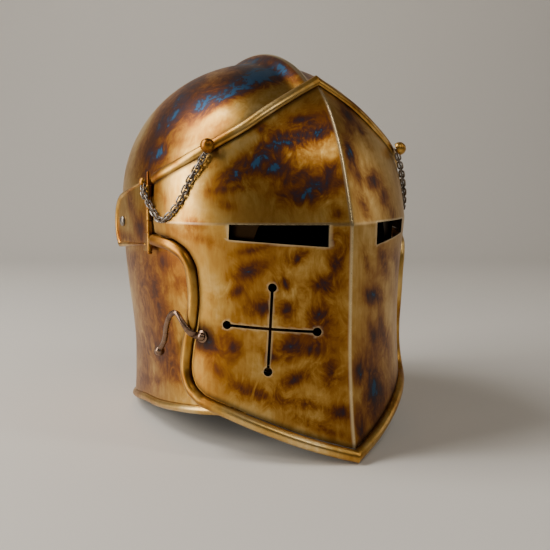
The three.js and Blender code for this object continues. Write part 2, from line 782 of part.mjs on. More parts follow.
// Outline of an arm seen from the side, as [y, z] from the pivot, from its front top round the back
function armOutline() {
  const front = -hingeAhead + hingeGap - pivotBehindEar;
  const shape = new THREE.Shape();
  shape.moveTo(front, armTopFront);
  shape.lineTo(-0.2 * armBack, armTopBack);
  shape.quadraticCurveTo(0.92 * armBack, 0.85 * armTopBack, armBack, 0);
  shape.quadraticCurveTo(armBack, -0.7 * armBottomBack, 0.55 * armBack, -armBottomBack);
  shape.lineTo(front, -armBottomFront);
  return shape.getPoints(4).map((point) => [point.x, point.y]);
}

// Point on an arm's inner face, raised by a height
function armPoint([y, z], raised) {
  return vector(-armFace(Math.hypot(y, z)) - raised, pivotPoint.y + y, pivotPoint.z + z);
}

// Plate of an arm with its raised rim: rows run from the pivot out to the outline
function armPlate() {
  const outline = armOutline();
  const along = ([y0, z0], [y1, z1], share) => [mix(y0, y1, share), mix(z0, z1, share)];
  const front = [0.3, 0.7].map((share) => along(outline.at(-1), outline[0], share));
  const top = [0.35, 0.7].map((share) => along(outline[0], outline[1], share));
  const under = [0.35, 0.7].map((share) => along(outline.at(-2), outline.at(-1), share));
  const loop = [outline[0], ...top, ...outline.slice(1, -1), ...under, outline.at(-1), ...front];
  const rimmed = loop.length - front.length;
  const outerRows = [
    { inset: 2.4 * armRimWidth, raised: 0 },
    { inset: armRimWidth, raised: 0 },
    { inset: 0.7 * armRimWidth, raised: 1 },
    { inset: 0.15 * armRimWidth, raised: 1 },
    { inset: 0, raised: 0.2 },
  ];
  const innerRows = [outerRows[0], outerRows[1], outerRows.at(-1)];
  const row = ({ inset, raised }, wall, rim) => loop.map(([y, z], k) => {
    const share = Math.max(1 - inset / Math.hypot(y, z), 0.45);
    return armPoint([share * y, share * z], wall + (k < rimmed ? raised * rim : 0));
  });
  const rows = [
    ...outerRows.map((place) => row(place, armWall, armRimHeight)),
    ...[...innerRows].reverse().map((place) => row(place, 0, 0)),
  ];
  const points = [...rows.flat(), armPoint([0, 0], armWall), armPoint([0, 0], 0)];
  const grid = rows.map((unused, r) => [...loop.keys(), 0].map((k) => r * loop.length + k));
  const triangles = gridTriangles(grid);
  const innermost = grid.at(-1);
  for (let k = 0; k < loop.length; k += 1) {
    triangles.push([grid[0][k + 1], grid[0][k], points.length - 2]);
    triangles.push([innermost[k], innermost[k + 1], points.length - 1]);
  }
  return closedSurface(points, triangles);
}

function makeArm() {
  const front = -hingeAhead + hingeGap;
  const knuckles = knuckleSpans().filter(({ onArm }) => onArm).flatMap((span) => {
    const height = (span.low + span.high) / 2 - pivotPoint.z;
    const plateX = armPoint([front - pivotBehindEar, height], armWall / 2).x;
    return knuckleSurfaces(span, hingeGap + armWall, plateX);
  });
  const foot = knuckleSpans()[0].low;
  const leafX = armPoint([front - pivotBehindEar + leafLength / 2, foot - pivotPoint.z], armWall).x;
  const leaf = boxBetween(
    vector(leafX - leafWall, -hingeAhead, foot),
    vector(leafX + armWall / 2, leafLength - hingeAhead, foot + leafHeight),
  );
  const pivotHole = roundBar(pivotRadius + seatGap, -2 * skullHalfWidth, 0, pivotPoint, vector(1, 0, 0));
  const headHole = roundBar(chainNeckRadius + seatGap, -2 * skullHalfWidth, 0, chainHeadPlace(), vector(1, 0, 0));
  return joined([armPlate(), leaf, ...knuckles]).subtract(joined([pinHole(), pivotHole, headHole]));
}

// Round rivet: head outside a plate, shank through it, tail inside it
function rivetSurface({ head, dome, shank, grip, tail, tailHeight }, point, direction) {
  const profile = [
    [0, -grip - tailHeight],
    [tail, -grip - tailHeight],
    [tail, -grip],
    [shank, -grip],
    [shank, 0],
    [head, 0],
    [head, 0.25 * dome],
    [0.8 * head, 0.7 * dome],
    [0.42 * head, 0.95 * dome],
    [0, dome],
  ];
  return turnedSurface(profile, point, direction);
}

const sideways = vector(-1, 0, 0);

function makePivotRivet() {
  const seat = shiftedFrom(armPoint([0, 0], armWall), sideways, seatGap);
  const innerFace = -skullSide(pivotPoint.y, pivotPoint.z) + skullWall;
  const grip = innerFace - seat.x + pivotTailRoom;
  const sizes = {
    head: pivotHeadRadius,
    dome: pivotHeadHeight,
    shank: pivotRadius,
    grip,
    tail: pivotHeadRadius,
    tailHeight: skullWall,
  };
  return rivetSurface(sizes, seat, sideways);
}

function makeHingePin() {
  const spans = knuckleSpans();
  const low = spans[0].low - seatGap;
  const high = spans.at(-1).high + pinStand;
  const profile = [
    [0, low - pinFoot],
    [knuckleRadius, low - pinFoot],
    [knuckleRadius, low],
    [pinRadius, low],
    [pinRadius, high],
    [0, high + pinRadius],
  ];
  return turnedSurface(profile, pinBase, upright, rodSides);
}

// Chain heads: a domed rivet on the arm's top corner and a ball on the brow moulding
function chainHeadPlace() {
  const [y, z] = armOutline()[0];
  return vector(0, pivotPoint.y + y + chainHeadInset, pivotPoint.z + z - chainHeadInset);
}

function chainHeadFrame() {
  const { y, z } = chainHeadPlace();
  const point = armPoint([y - pivotPoint.y, z - pivotPoint.z], armWall + armRimHeight + seatGap);
  return { point, out: sideways, middle: shiftedFrom(point, sideways, chainNeckLength + 0.3 * chainHeadRadius) };
}

function makeChainHead() {
  const { point, out } = chainHeadFrame();
  const profile = [
    [0, -armRimHeight - armWall],
    [chainNeckRadius, -armRimHeight - armWall],
    [chainNeckRadius, chainNeckLength],
    [chainHeadRadius, chainNeckLength + 0.2],
    [0.85 * chainHeadRadius, chainNeckLength + 0.45 * chainHeadRadius],
    [0.5 * chainHeadRadius, chainNeckLength + 0.75 * chainHeadRadius],
    [0, chainNeckLength + 0.85 * chainHeadRadius],
  ];
  return turnedSurface(profile, point, out);
}

function chainBallFrame() {
  const place = browPlace(chainBallAlong);
  const { point, out } = visorFrame(place.depth, place.height);
  const ahead = browPlace(chainBallAlong - 0.02);
  const run = visorPoint(ahead.depth, ahead.height).sub(point).normalize();
  const inward = run.clone().cross(out).normalize();
  const edge = shiftedFrom(point, inward, chainBallInset * mouldingWidth);
  const seat = shiftedFrom(edge, out, mouldingHeight + seatGap);
  return { point: seat, out, middle: shiftedFrom(seat, out, chainBallMiddle) };
}

function makeChainBall() {
  const { point, out } = chainBallFrame();
  const turns = [-0.14, 0, 0.14, 0.3].map((turn) => turn * pi);
  const profile = [
    [0, 0],
    [0.5 * chainBallRadius, 0],
    [chainNeckRadius, chainBallFoot],
    [chainNeckRadius, chainNeckLength],
    ...turns.map((turn) => [chainBallRadius * Math.cos(turn), chainBallMiddle + chainBallRadius * Math.sin(turn)]),
    [0, chainBallMiddle + chainBallRadius],
  ];
  return turnedSurface(profile, point, out);
}

// Chain from beside the head on the arm, over the cheek, to beside the ball on the brow
function makeChain() {
  const head = chainHeadFrame().middle;
  const ball = chainBallFrame().middle;
  const onVisor = chainRoute.map(({ depth, height, out }) => {
    const frame = visorFrame(depth, sightHeight + height);
    return shiftedFrom(frame.point, frame.out, out);
  });
  const beside = (middle, next, radius) =>
    shiftedFrom(middle, next.clone().sub(middle).normalize(), radius + chainGap);
  const start = beside(head, onVisor[0], chainHeadRadius);
  const end = beside(ball, onVisor.at(-1), chainBallRadius);
  const extrudePath = new THREE.CatmullRomCurve3([start, ...onVisor, end], false, "centripetal");
  const section = new THREE.Shape(rodSection(chainRadius).map(([x, y]) => new THREE.Vector2(x, y)));
  const steps = Math.round(extrudePath.getLength() / (5 * chainRadius));
  return new THREE.ExtrudeGeometry(section, { steps, extrudePath, bevelEnabled: false });
}

// Latch hook: a palm under the stud, a rod over the visor's rolled edge and a ball at its free end
function hookPoint({ back, up, out }) {
  const frame = hookFrame();
  const along = shiftedFrom(frame.point, frame.back, back);
  return shiftedFrom(shiftedFrom(along, frame.up, up), frame.out, out);
}

function makeHook() {
  const frame = hookFrame();
  const curve = new THREE.CatmullRomCurve3(hookRoute.map(hookPoint), false, "centripetal");
  const steps = 2 * (hookRoute.length - 1);
  const stations = stationsAlong(curve.getPoints(steps), Array(steps + 1).fill(frame.out));
  const rings = stations.map((station, k) => {
    const [row, next] = [hookRoute[Math.floor(k / 2)], hookRoute[Math.ceil(k / 2)]];
    const [wide, thick] = ["wide", "thick"].map((column) => (row[column] + next[column]) / 2);
    return ringAt(station, rodSection(hookRadius, 6).map(([a, o]) => [wide * a, thick * o]));
  });
  const ball = new THREE.SphereGeometry(hookBallRadius, rodSides, 6);
  ball.translate(...hookPoint(hookRoute.at(-1)).toArray());
  const palm = roundBar(hookPalmRadius, seatGap, seatGap + hookPalmWall, frame.point, frame.out);
  const hole = roundBar(studRadius + seatGap, -seatGap, 4 * hookPalmWall, frame.point, frame.out);
  return surfaceOf(joined([barSurface(rings), ball, palm]).subtract(solidOf(hole)));
}

function makeHookStud() {
  const frame = hookFrame();
  const seat = shiftedFrom(frame.point, frame.out, hookPalmWall + 2 * seatGap);
  const sizes = {
    head: studHeadRadius,
    dome: studHeadHeight,
    shank: studRadius,
    grip: hookPalmWall + visorWall + 4 * seatGap,
    tail: studHeadRadius,
    tailHeight: visorWall,
  };
  return rivetSurface(sizes, seat, frame.out);
}

const steel = (colour, roughness) => new THREE.MeshStandardMaterial({ color: colour, roughness, metalness: 1 });
const strawSteel = steel(0xc9a25c, 0.35);
const brightSteel = steel(0xd8bd84, 0.28);
const darkSteel = steel(0x3b2c22, 0.45);
const greySteel = steel(0x8d8a86, 0.35);

const helmet = new THREE.Group();

function place(name, geometry, material) {
  const mesh = new THREE.Mesh(geometry, material);
  mesh.name = name;
  helmet.add(mesh);
}

function placePair(name, geometry, material) {
  place(`${name}_right`, geometry, material);
  place(`${name}_left`, mirroredSurface(geometry), material);
}

place("skull", makeSkull(), strawSteel);
place("skull_neck_roll", makeNeckRoll(), brightSteel);
place("visor", makeVisor(), strawSteel);
place("visor_lower_roll", makeVisorRoll(), brightSteel);
place("visor_brow_moulding", makeBrowMoulding(), brightSteel);
placePair("hinge_arm", surfaceOf(makeArm()), strawSteel);
placePair("hinge_pin", makeHingePin(), brightSteel);
placePair("pivot_rivet", makePivotRivet(), greySteel);
placePair("chain_head", makeChainHead(), brightSteel);
placePair("chain_ball", makeChainBall(), brightSteel);
placePair("chain", makeChain(), greySteel);
place("latch_hook", makeHook(), darkSteel);
place("hook_stud", makeHookStud(), darkSteel);

const box = new THREE.Box3().setFromObject(helmet);
helmet.position.set(0, -(box.min.y + box.max.y) / 2, -box.min.z);

export default helmet;
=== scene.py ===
import math

import bpy
import numpy as np
from mathutils import Matrix, Vector


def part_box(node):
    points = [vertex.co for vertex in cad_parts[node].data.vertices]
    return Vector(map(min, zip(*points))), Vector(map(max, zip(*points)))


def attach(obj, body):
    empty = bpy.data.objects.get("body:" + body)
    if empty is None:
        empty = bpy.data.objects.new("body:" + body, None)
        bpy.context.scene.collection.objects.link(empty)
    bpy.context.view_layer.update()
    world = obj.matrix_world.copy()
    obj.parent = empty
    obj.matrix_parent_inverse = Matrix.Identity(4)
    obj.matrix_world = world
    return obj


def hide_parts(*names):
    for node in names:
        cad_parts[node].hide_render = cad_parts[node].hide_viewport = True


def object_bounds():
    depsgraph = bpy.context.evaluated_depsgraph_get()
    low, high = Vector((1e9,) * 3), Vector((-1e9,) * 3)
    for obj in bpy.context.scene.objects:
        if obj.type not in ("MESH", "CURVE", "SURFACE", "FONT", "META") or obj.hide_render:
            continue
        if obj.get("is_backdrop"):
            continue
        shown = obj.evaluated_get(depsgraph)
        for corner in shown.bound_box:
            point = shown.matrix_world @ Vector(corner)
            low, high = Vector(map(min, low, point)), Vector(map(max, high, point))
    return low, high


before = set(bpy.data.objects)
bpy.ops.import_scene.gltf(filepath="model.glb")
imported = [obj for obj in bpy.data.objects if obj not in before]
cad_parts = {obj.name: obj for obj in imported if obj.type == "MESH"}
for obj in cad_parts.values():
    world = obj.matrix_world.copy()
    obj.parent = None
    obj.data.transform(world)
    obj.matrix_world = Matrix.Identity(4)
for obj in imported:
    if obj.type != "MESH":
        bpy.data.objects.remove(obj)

cad_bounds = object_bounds()

# Sizes are millimetres from the line through both ears, as in the construction model
MM = 0.001
SKULL_HALF_WIDTH = 112.0
SKULL_FRONT = 133.0
SKULL_BACK = 141.0
SKULL_WALL = 1.6
EAR_HEIGHT = 190.0
DOME_RISE = 116.5
DOME_SQUARENESS = 2.1
NECK_ROLL_RADIUS = 3.5
SEAT_GAP = 0.3
EAR_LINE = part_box("skull")[1][1] / MM - SKULL_BACK
# Height over which the shells close in over the head
SHELL_MIDDLE = 170


def table(columns, *rows):
    """Columns of a table by name."""
    return {name: np.array([row[k] for row in rows]) for k, name in enumerate(columns.split())}


def rows_of(columns):
    """A table's rows, one after the other."""
    return zip(*columns.values())


NECK_SECTIONS = table(
    "height width squareness",
    (0, 0.9, 2.65), (0.16, 0.892, 2.55), (0.3, 0.899, 2.4), (0.45, 0.929, 2.2),
    (0.6, 0.963, 2.12), (0.8, 0.991, 2.1), (1, 1, DOME_SQUARENESS),
)
RIM_SECTIONS = table(
    "turn lift",
    (0, 0.15), (0.2, 0.145), (0.35, 0.125), (0.5, 0.084), (0.6, 0.044), (0.7, 0.013), (0.78, 0), (1, 0),
)
FACE_HALF_WIDTH = 60.0
FACE_TOP = 212.0
COMB_HEIGHT = 8.0
COMB_HALF_WIDTH = 15.0
COMB_SECTIONS = table(
    "turn rise",
    (0.13, 0), (0.2, 0.55), (0.28, 0.92), (0.35, 1), (0.42, 1), (0.51, 1), (0.62, 0.97), (0.73, 0.8),
    (0.84, 0.46), (0.93, 0),
)

VISOR_WALL = 1.6
VISOR_HALF_WIDTH = SKULL_HALF_WIDTH + 2
SIGHT_REACH = SKULL_FRONT + 24.4
SIGHT_HEIGHT = EAR_HEIGHT - 13.5
PEAK_HEIGHT = EAR_HEIGHT + DOME_RISE - 20.7
SIDE_FULLNESS = 3.3
KEEL_ROUND = 1.2
FACE_SECTIONS = table(
    "height reach width",
    (0, 1.061, 0.99), (0.062, 1.042, 0.98), (0.283, 1.008, 0.952), (0.51, 0.994, 0.938),
    (0.691, 0.9936, 0.946), (1, 1, 1),
)
BROW_SECTIONS = table(
    "height reach width",
    (0, 1, 1), (0.238, 0.953, 0.987), (0.503, 0.889, 0.921), (0.778, 0.788, 0.754), (1, 0.648, 0.544),
)
JAW_EDGE = table(
    "along depth height",
    (0, 1, 0.06), (0.28, 0.913, 0.11), (0.55, 0.815, 0.167), (0.82, 0.69, 0.227), (1, 0.588, 0.262),
)
CHEEK_EDGE = table(
    "along depth height",
    (0, 0.588, 0.262), (0.09, 0.538, 0.304), (0.18, 0.516, 0.372), (0.3, 0.526, 0.46), (0.42, 0.552, 0.57),
    (0.54, 0.568, 0.7), (0.64, 0.565, 0.795), (0.76, 0.525, 0.883), (0.88, 0.41, 0.934), (1, 0.29, 0.944),
)
BROW_EDGE = table(
    "along depth height",
    (0, 1, 1), (0.13, 0.91, 0.9), (0.32, 0.81, 0.775), (0.5, 0.73, 0.66), (0.68, 0.61, 0.535),
    (0.85, 0.46, 0.42), (1, 0.29, 0.33),
)
HINGE_AHEAD = 37.6
HINGE_GAP = 2.5

# Each sight slit: side, its front and rear along X, and its depth at each end
SIGHT_SLITS = table(
    "side front rear front_depth rear_depth",
    (-1, 15.5, 77.5, 16.5, 11.5), (1, 32, 79, 17.5, 11.5),
)
SLIT_ABOVE_GAP = 0.2
CROSS_DEPTH = 0.818
CROSS_DROP = 77.0
CROSS_SLOT = 2.2
CROSS_HOLE = 3.3
CROSS_TILT = 3.0
CROSS_CUT_REACH = 30
CROSS_ARMS = table("turn length", (0, 33), (90, 30.8), (180, 34.4), (270, 32.2))

VISOR_ROLL_RADIUS = 4.6
VISOR_ROLL_STAND = 1.7
NECK_ROLL_INSET = 0.8
ROLL_GAP = 0.45
MOULDING_WIDTH = 8.4
MOULDING_HEIGHT = 3.4

PIVOT = np.array([0.0, 21.0, EAR_HEIGHT - 17.3])
ARM_WALL = 1.8
ARM_BACK = 20.6
ARM_TOP_BACK = 25.0
ARM_TOP_FRONT = 36.0
ARM_BOTTOM_BACK = 23.0
ARM_BOTTOM_FRONT = 16.0
ARM_RIM_WIDTH = 4.4
ARM_RIM_HEIGHT = 1.5
SLIDE_GAP = 1.1
ARM_FRONT = -HINGE_AHEAD + HINGE_GAP - PIVOT[1]
LEAF_HALF_SIZES = (0.8, 6, 7)

KNUCKLE_COUNT = 5
KNUCKLE_RADIUS = 2.1
KNUCKLE_HEIGHT = 9.0
KNUCKLE_FOOT = 6
KNUCKLE_TAB_WALL = 1.2
PIN_RADIUS = 1.1
PIN_HEAD_RADIUS = 2.1
PIN_STAND = 10
RIVET_RADIUS = 4.5
RIVET_SHANK_RADIUS = 2.5
RIVET_DOME = 2.2
RIVET_TAIL = 1.6

CHAIN_HEAD_RADIUS = 4.2
CHAIN_HEAD_INSET = 2.8
CHAIN_BALL_RADIUS = 5.4
CHAIN_BALL_ALONG = 0.665
CHAIN_NECK_RADIUS = 0.8
CHAIN_NECK_LENGTH = 1.7
LINK_WIRE = 0.72
LINK_WIDTH = 2.5
LINK_PITCH = 4.1
LINK_OVERLAP = 0.1
LINK_END_REACH = 1.2
CHAIN_ROUTE = table(
    "depth height out",
    (0.27, 20.5, 6.2), (0.3, 13.5, 4.4), (0.333, 7.2, 3.2), (0.362, 2.8, 3), (0.39, 1, 3),
    (0.43, 2.8, 3), (0.482, 9.3, 3), (0.525, 18.1, 3), (0.562, 29.7, 3), (0.592, 38, 3.6),
)
HOOK_DEPTH = 0.576
HOOK_DROP = 85.7
HOOK_RADIUS = 2.1
HOOK_BALL_RADIUS = 4
PALM_RADIUS = 4.8
PALM_HOLE = 1.8
PALM_TOP = 1.9
STUD_RADIUS = 3.3
STUD_SHANK_RADIUS = 1.5
HOOK_ROUTE = table(
    "back up out wide thick",
    (3.4, 0.2, 1.1, 1.5, 0.38), (5, 0.8, 2.6, 1.5, 0.42), (6.4, 2, 5, 1.4, 0.45), (9, 4.8, 7, 1.2, 0.7),
    (13.4, 11.5, 8, 1, 1), (19.5, 17.4, 7, 1, 1), (25.8, 15.2, 5, 1, 1), (32, 7.2, 2, 1, 1),
    (37.5, -7, -1.5, 1, 1), (45, -17, -4.5, 1, 1),
)

# Radius that stands for the axis of a turned shape
AXIS = 0.01

# Camera of the photograph
CAMERA_TURN = math.radians(28)
CAMERA_PITCH = math.radians(7.48)
CAMERA_PLACE = np.array([-320.5, -640.5, 215.6])
PHOTO_SIZE = 550
FOCAL_PIXELS = 800


def read(rows, key, column, value):
    """A table's column on a smooth curve that never overshoots a row."""
    keys, data = rows[key], rows[column]
    secants = np.diff(data) / np.diff(keys)
    before = np.concatenate([secants[:1], secants])
    after = np.concatenate([secants, secants[-1:]])
    product = before * after
    slopes = np.where(product > 0, 2 * product / np.where(product > 0, before + after, 1), 0)
    value = np.asarray(value, float)
    first = np.clip(np.searchsorted(keys, value, side="left") - 1, 0, len(keys) - 2)
    span = keys[first + 1] - keys[first]
    t = (value - keys[first]) / span
    swing = t * t * (3 - 2 * t)
    leave = t * (1 - t) * (1 - t) * span * slopes[first]
    arrive = t * t * (t - 1) * span * slopes[first + 1]
    return data[first] + (data[first + 1] - data[first]) * swing + leave + arrive


def unit(vectors):
    """Vectors scaled to length one."""
    return vectors / np.maximum(np.linalg.norm(vectors, axis=-1, keepdims=True), 1e-9)


def skull_plan(height):
    """Share of the full width and squareness of the skull's plan at a height."""
    rise = np.clip((height - EAR_HEIGHT) / DOME_RISE, 0, 1)
    level = np.minimum(height, EAR_HEIGHT) / EAR_HEIGHT
    below = height < EAR_HEIGHT
    share = np.where(below, read(NECK_SECTIONS, "height", "width", level), np.sqrt(1 - rise * rise))
    squareness = np.where(below, read(NECK_SECTIONS, "height", "squareness", level), DOME_SQUARENESS)
    return share, squareness


def comb_rise(x, y, z):
    """Height of the comb over the dome and its direction there."""
    reach = np.where(y < 0, SKULL_FRONT, SKULL_BACK)
    turn = np.arctan2((z - EAR_HEIGHT) / DOME_RISE, -y / reach) / math.pi
    first, last = COMB_SECTIONS["turn"][[0, -1]]
    rise = np.clip(read(COMB_SECTIONS, "turn", "rise", np.clip(turn, first, last)), 0, None)
    rise = np.where((turn > first) & (turn < last), rise, 0)
    side = np.clip(np.abs(x) / COMB_HALF_WIDTH, 0, 1)
    profile = 0.7 * np.cos(side * math.pi / 2) ** 2 + 0.3 * (1 - side) ** 2
    out = unit(np.stack([0 * x, y / reach ** 2, (z - EAR_HEIGHT) / DOME_RISE ** 2], axis=-1))
    return COMB_HEIGHT * rise * profile, out


def skull_point(angle, level):
    """Points of the skull: angle 0 looks forward, level runs from -1 on the edge to 1 on top."""
    turn = np.abs(np.arctan2(np.sin(angle), np.cos(angle))) / math.pi
    edge = EAR_HEIGHT * read(RIM_SECTIONS, "turn", "lift", turn) + 2 * NECK_ROLL_RADIUS + SEAT_GAP
    upper = EAR_HEIGHT + DOME_RISE * np.sin(level * math.pi / 2)
    height = np.where(level < 0, EAR_HEIGHT + (edge - EAR_HEIGHT) * -level, upper)
    share, squareness = skull_plan(height)
    share = np.where(level < 0, share, np.cos(level * math.pi / 2))
    spread = lambda value: np.sign(value) * np.abs(value) ** (2 / squareness) * share
    reach = np.where(np.cos(angle) > 0, SKULL_FRONT, SKULL_BACK)
    x = SKULL_HALF_WIDTH * spread(np.sin(angle))
    y = -reach * spread(np.cos(angle))
    rise, out = comb_rise(x, y, height)
    return np.stack([x, y, height], axis=-1) + rise[..., None] * out


def skull_side(y, z):
    """Half width of the skull where a side view sees the given places."""
    share, squareness = skull_plan(z)
    ratio = np.clip(np.abs(y) / (np.where(y < 0, SKULL_FRONT, SKULL_BACK) * share), 0, 1)
    return SKULL_HALF_WIDTH * share * (1 - ratio ** squareness) ** (1 / squareness)


def visor_section(height):
    """Reach and half width of the visor at a height."""
    low = np.minimum(height, SIGHT_HEIGHT) / SIGHT_HEIGHT
    high = np.clip((height - SIGHT_HEIGHT) / (PEAK_HEIGHT - SIGHT_HEIGHT), 0, 1)
    shares = []
    for column in ("reach", "width"):
        face = read(FACE_SECTIONS, "height", column, low)
        brow = read(BROW_SECTIONS, "height", column, high)
        shares.append(np.where(height < SIGHT_HEIGHT, face, brow))
    return SIGHT_REACH * shares[0], VISOR_HALF_WIDTH * shares[1]


def visor_point(depth, height, rounding=KEEL_ROUND):
    """Points on the outside of the visor's right half, with its keel a little rounded."""
    depth, height = np.broadcast_arrays(np.asarray(depth, float), np.asarray(height, float))
    reach, half_width = visor_section(height)
    x = half_width * (1 - np.minimum(depth, 1) ** SIDE_FULLNESS)
    eased = np.sqrt(x * x + rounding ** 2) - rounding * np.clip(x / half_width, 0, 1)
    eased_depth = (1 - np.clip(eased / half_width, 0, 1)) ** (1 / SIDE_FULLNESS)
    return np.stack([-x, -reach * eased_depth, height], axis=-1)


def visor_normal(depth, height):
    """Directions out of the visor's right half."""
    step = 0.01
    height = np.asarray(height, float)
    behind = visor_point(np.maximum(depth - step, 0), height, 0)
    ahead = visor_point(np.minimum(depth + step, 1), height, 0)
    lowest = np.where(height > SIGHT_HEIGHT, SIGHT_HEIGHT, 0)
    highest = np.where(height > SIGHT_HEIGHT, PEAK_HEIGHT, SIGHT_HEIGHT)
    above = visor_point(depth, np.minimum(height + 1, highest), 0)
    below = visor_point(depth, np.maximum(height - 1, lowest), 0)
    return unit(np.cross(above - below, behind - ahead))


def visor_frame(depth, height):
    """A place on the visor with the directions out of it, back along it and up it."""
    point, out = visor_point(depth, height, 0), visor_normal(depth, height)
    back = unit(np.cross(out, [0, 0, 1]))
    return point, out, back, unit(np.cross(back, out))


def hinge_edge_depth(height):
    """Depth of the visor's rear edge, in front of the hinge."""
    return (HINGE_AHEAD + HINGE_GAP) / visor_section(height)[0]


def jaw_place(along):
    """Depth and height along the jaw."""
    return read(JAW_EDGE, "along", "depth", along), SIGHT_HEIGHT * read(JAW_EDGE, "along", "height", along)


def cheek_place(along):
    """Depth and height along the cheek, from the jaw up to the hinge."""
    height = SIGHT_HEIGHT * read(CHEEK_EDGE, "along", "height", along)
    return np.maximum(read(CHEEK_EDGE, "along", "depth", along), hinge_edge_depth(height)), height


def brow_place(along):
    """Depth and height along the brow, from the peak back to the hinge."""
    rise = read(BROW_EDGE, "along", "height", along)
    height = SIGHT_HEIGHT + (PEAK_HEIGHT - SIGHT_HEIGHT) * rise
    return np.maximum(read(BROW_EDGE, "along", "depth", along), hinge_edge_depth(height)), height


def to_frame(points):
    """Points in the row frame, in metres."""
    return (np.asarray(points, float) + [0, EAR_LINE, 0]) * MM


def roll_places(cheek_count, jaw_count):
    """Depths and heights along the visor's lower border, from the hinge to the chin."""
    cheek = cheek_place(np.linspace(1, 0, cheek_count))
    jaw = jaw_place(np.linspace(1, 0, jaw_count)[1:])
    return [np.concatenate(pair) for pair in zip(cheek, jaw)]


def seen_at(points):
    """Pixels of the photograph where points appear."""
    level = math.cos(CAMERA_PITCH)
    ahead = np.array([math.sin(CAMERA_TURN) * level, math.cos(CAMERA_TURN) * level, -math.sin(CAMERA_PITCH)])
    right = np.array([math.cos(CAMERA_TURN), -math.sin(CAMERA_TURN), 0])
    up = np.cross(right, ahead)
    offset = points - CAMERA_PLACE
    depth = offset @ ahead
    middle = PHOTO_SIZE / 2
    return middle + FOCAL_PIXELS * (offset @ right) / depth, middle - FOCAL_PIXELS * (offset @ up) / depth


pieces = {}
piece_steels = {}


def choose(piece):
    """The piece alone is selected and active."""
    bpy.ops.object.select_all(action="DESELECT")
    piece.select_set(True)
    bpy.context.view_layer.objects.active = piece


def new_solid(name, points, faces):
    """An object with outward faces from points in millimetres."""
    mesh = bpy.data.meshes.new(name)
    mesh.from_pydata(to_frame(points).tolist(), [], faces)
    mesh.validate()
    solid = bpy.data.objects.new(name, mesh)
    bpy.context.collection.objects.link(solid)
    choose(solid)
    bpy.ops.object.mode_set(mode="EDIT")
    bpy.ops.mesh.select_all(action="SELECT")
    bpy.ops.mesh.remove_doubles(threshold=1e-6)
    bpy.ops.mesh.normals_make_consistent(inside=False)
    bpy.ops.object.mode_set(mode="OBJECT")
    return solid


def shade(piece, sharp):
    """Smooth shading, with edges over an angle in degrees kept sharp."""
    choose(piece)
    bpy.ops.object.shade_smooth_by_angle(angle=math.radians(sharp))


def mesh_piece(name, points, faces, body, slot_name, *nodes, sharp=35):
    """A shaded piece that rides on a body in place of its nodes."""
    piece = new_solid(name, points, faces)
    shade(piece, sharp)
    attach(piece, body)
    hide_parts(*nodes)
    pieces[name] = piece
    piece_steels[name] = slot_name
    return piece


def grid_faces(rows, columns, start=0, wrap=False):
    """Four-cornered faces of a grid of points."""
    last = columns if wrap else columns - 1
    return [
        (start + r * columns + c, start + r * columns + (c + 1) % columns,
         start + (r + 1) * columns + (c + 1) % columns, start + (r + 1) * columns + c)
        for r in range(rows - 1) for c in range(last)
    ]


def grid_normals(grid, towards, wrap=False):
    """Directions across a grid of points, to the side where the given directions point."""
    if wrap:
        around = np.roll(grid, -1, axis=1) - np.roll(grid, 1, axis=1)
    else:
        around = np.gradient(grid, axis=1)
    normals = unit(np.cross(around, np.gradient(grid, axis=0)))
    return normals if np.sum(normals * towards) > 0 else -normals


def plate(outer, inner, wrap=False):
    """Points and faces of a plate between two grids."""
    rows, columns = outer.shape[:2]
    count = rows * columns
    points = np.concatenate([outer.reshape(-1, 3), inner.reshape(-1, 3)])
    faces = grid_faces(rows, columns, 0, wrap)
    faces += [tuple(reversed(face)) for face in grid_faces(rows, columns, count, wrap)]
    last = (rows - 1) * columns
    for c in range(columns if wrap else columns - 1):
        d = (c + 1) % columns
        faces.append((c, count + c, count + d, d))
        faces.append((last + c, last + d, count + last + d, count + last + c))
    if not wrap:
        for r in range(rows - 1):
            a, b = r * columns, (r + 1) * columns
            faces.append((a, b, count + b, count + a))
            faces.append((a + columns - 1, count + a + columns - 1, count + b + columns - 1, b + columns - 1))
    return points, faces


def stations(points, outs):
    """Directions ahead, across and out along a path."""
    ahead = unit(np.gradient(points, axis=0))
    across = unit(np.cross(ahead, outs))
    return ahead, across, unit(np.cross(across, ahead))


def swept_rings(points, outs, section):
    """Rings of a bar: section holds across and out of each corner, once or for each station."""
    _, across, out = stations(points, outs)
    section = np.broadcast_to(section, (len(points),) + np.shape(section)[-2:])
    return points[:, None] + section[..., :1] * across[:, None] + section[..., 1:] * out[:, None]


def mitred(rings, ahead):
    """Rings that meet their mirror image in the middle plane and go on down the other side."""
    step = rings[-1][:, :1] / ahead[-1][0]
    rings[-1] = rings[-1] - step * ahead[-1]
    mirrored = rings[:-1][::-1] * [-1, 1, 1]
    return np.concatenate([rings, mirrored])


def bar(rings):
    """Points and faces of a bar through rings, with closed ends."""
    count, sides = rings.shape[:2]
    faces = grid_faces(count, sides, 0, True)
    faces.append(tuple(range(sides)))
    faces.append(tuple((count - 1) * sides + k for k in reversed(range(sides))))
    return rings.reshape(-1, 3), faces


def round_section(radius, sides):
    """Corners of a round bar."""
    angles = np.arange(sides) * 2 * math.pi / sides
    return radius * np.stack([np.cos(angles), np.sin(angles)], axis=-1)


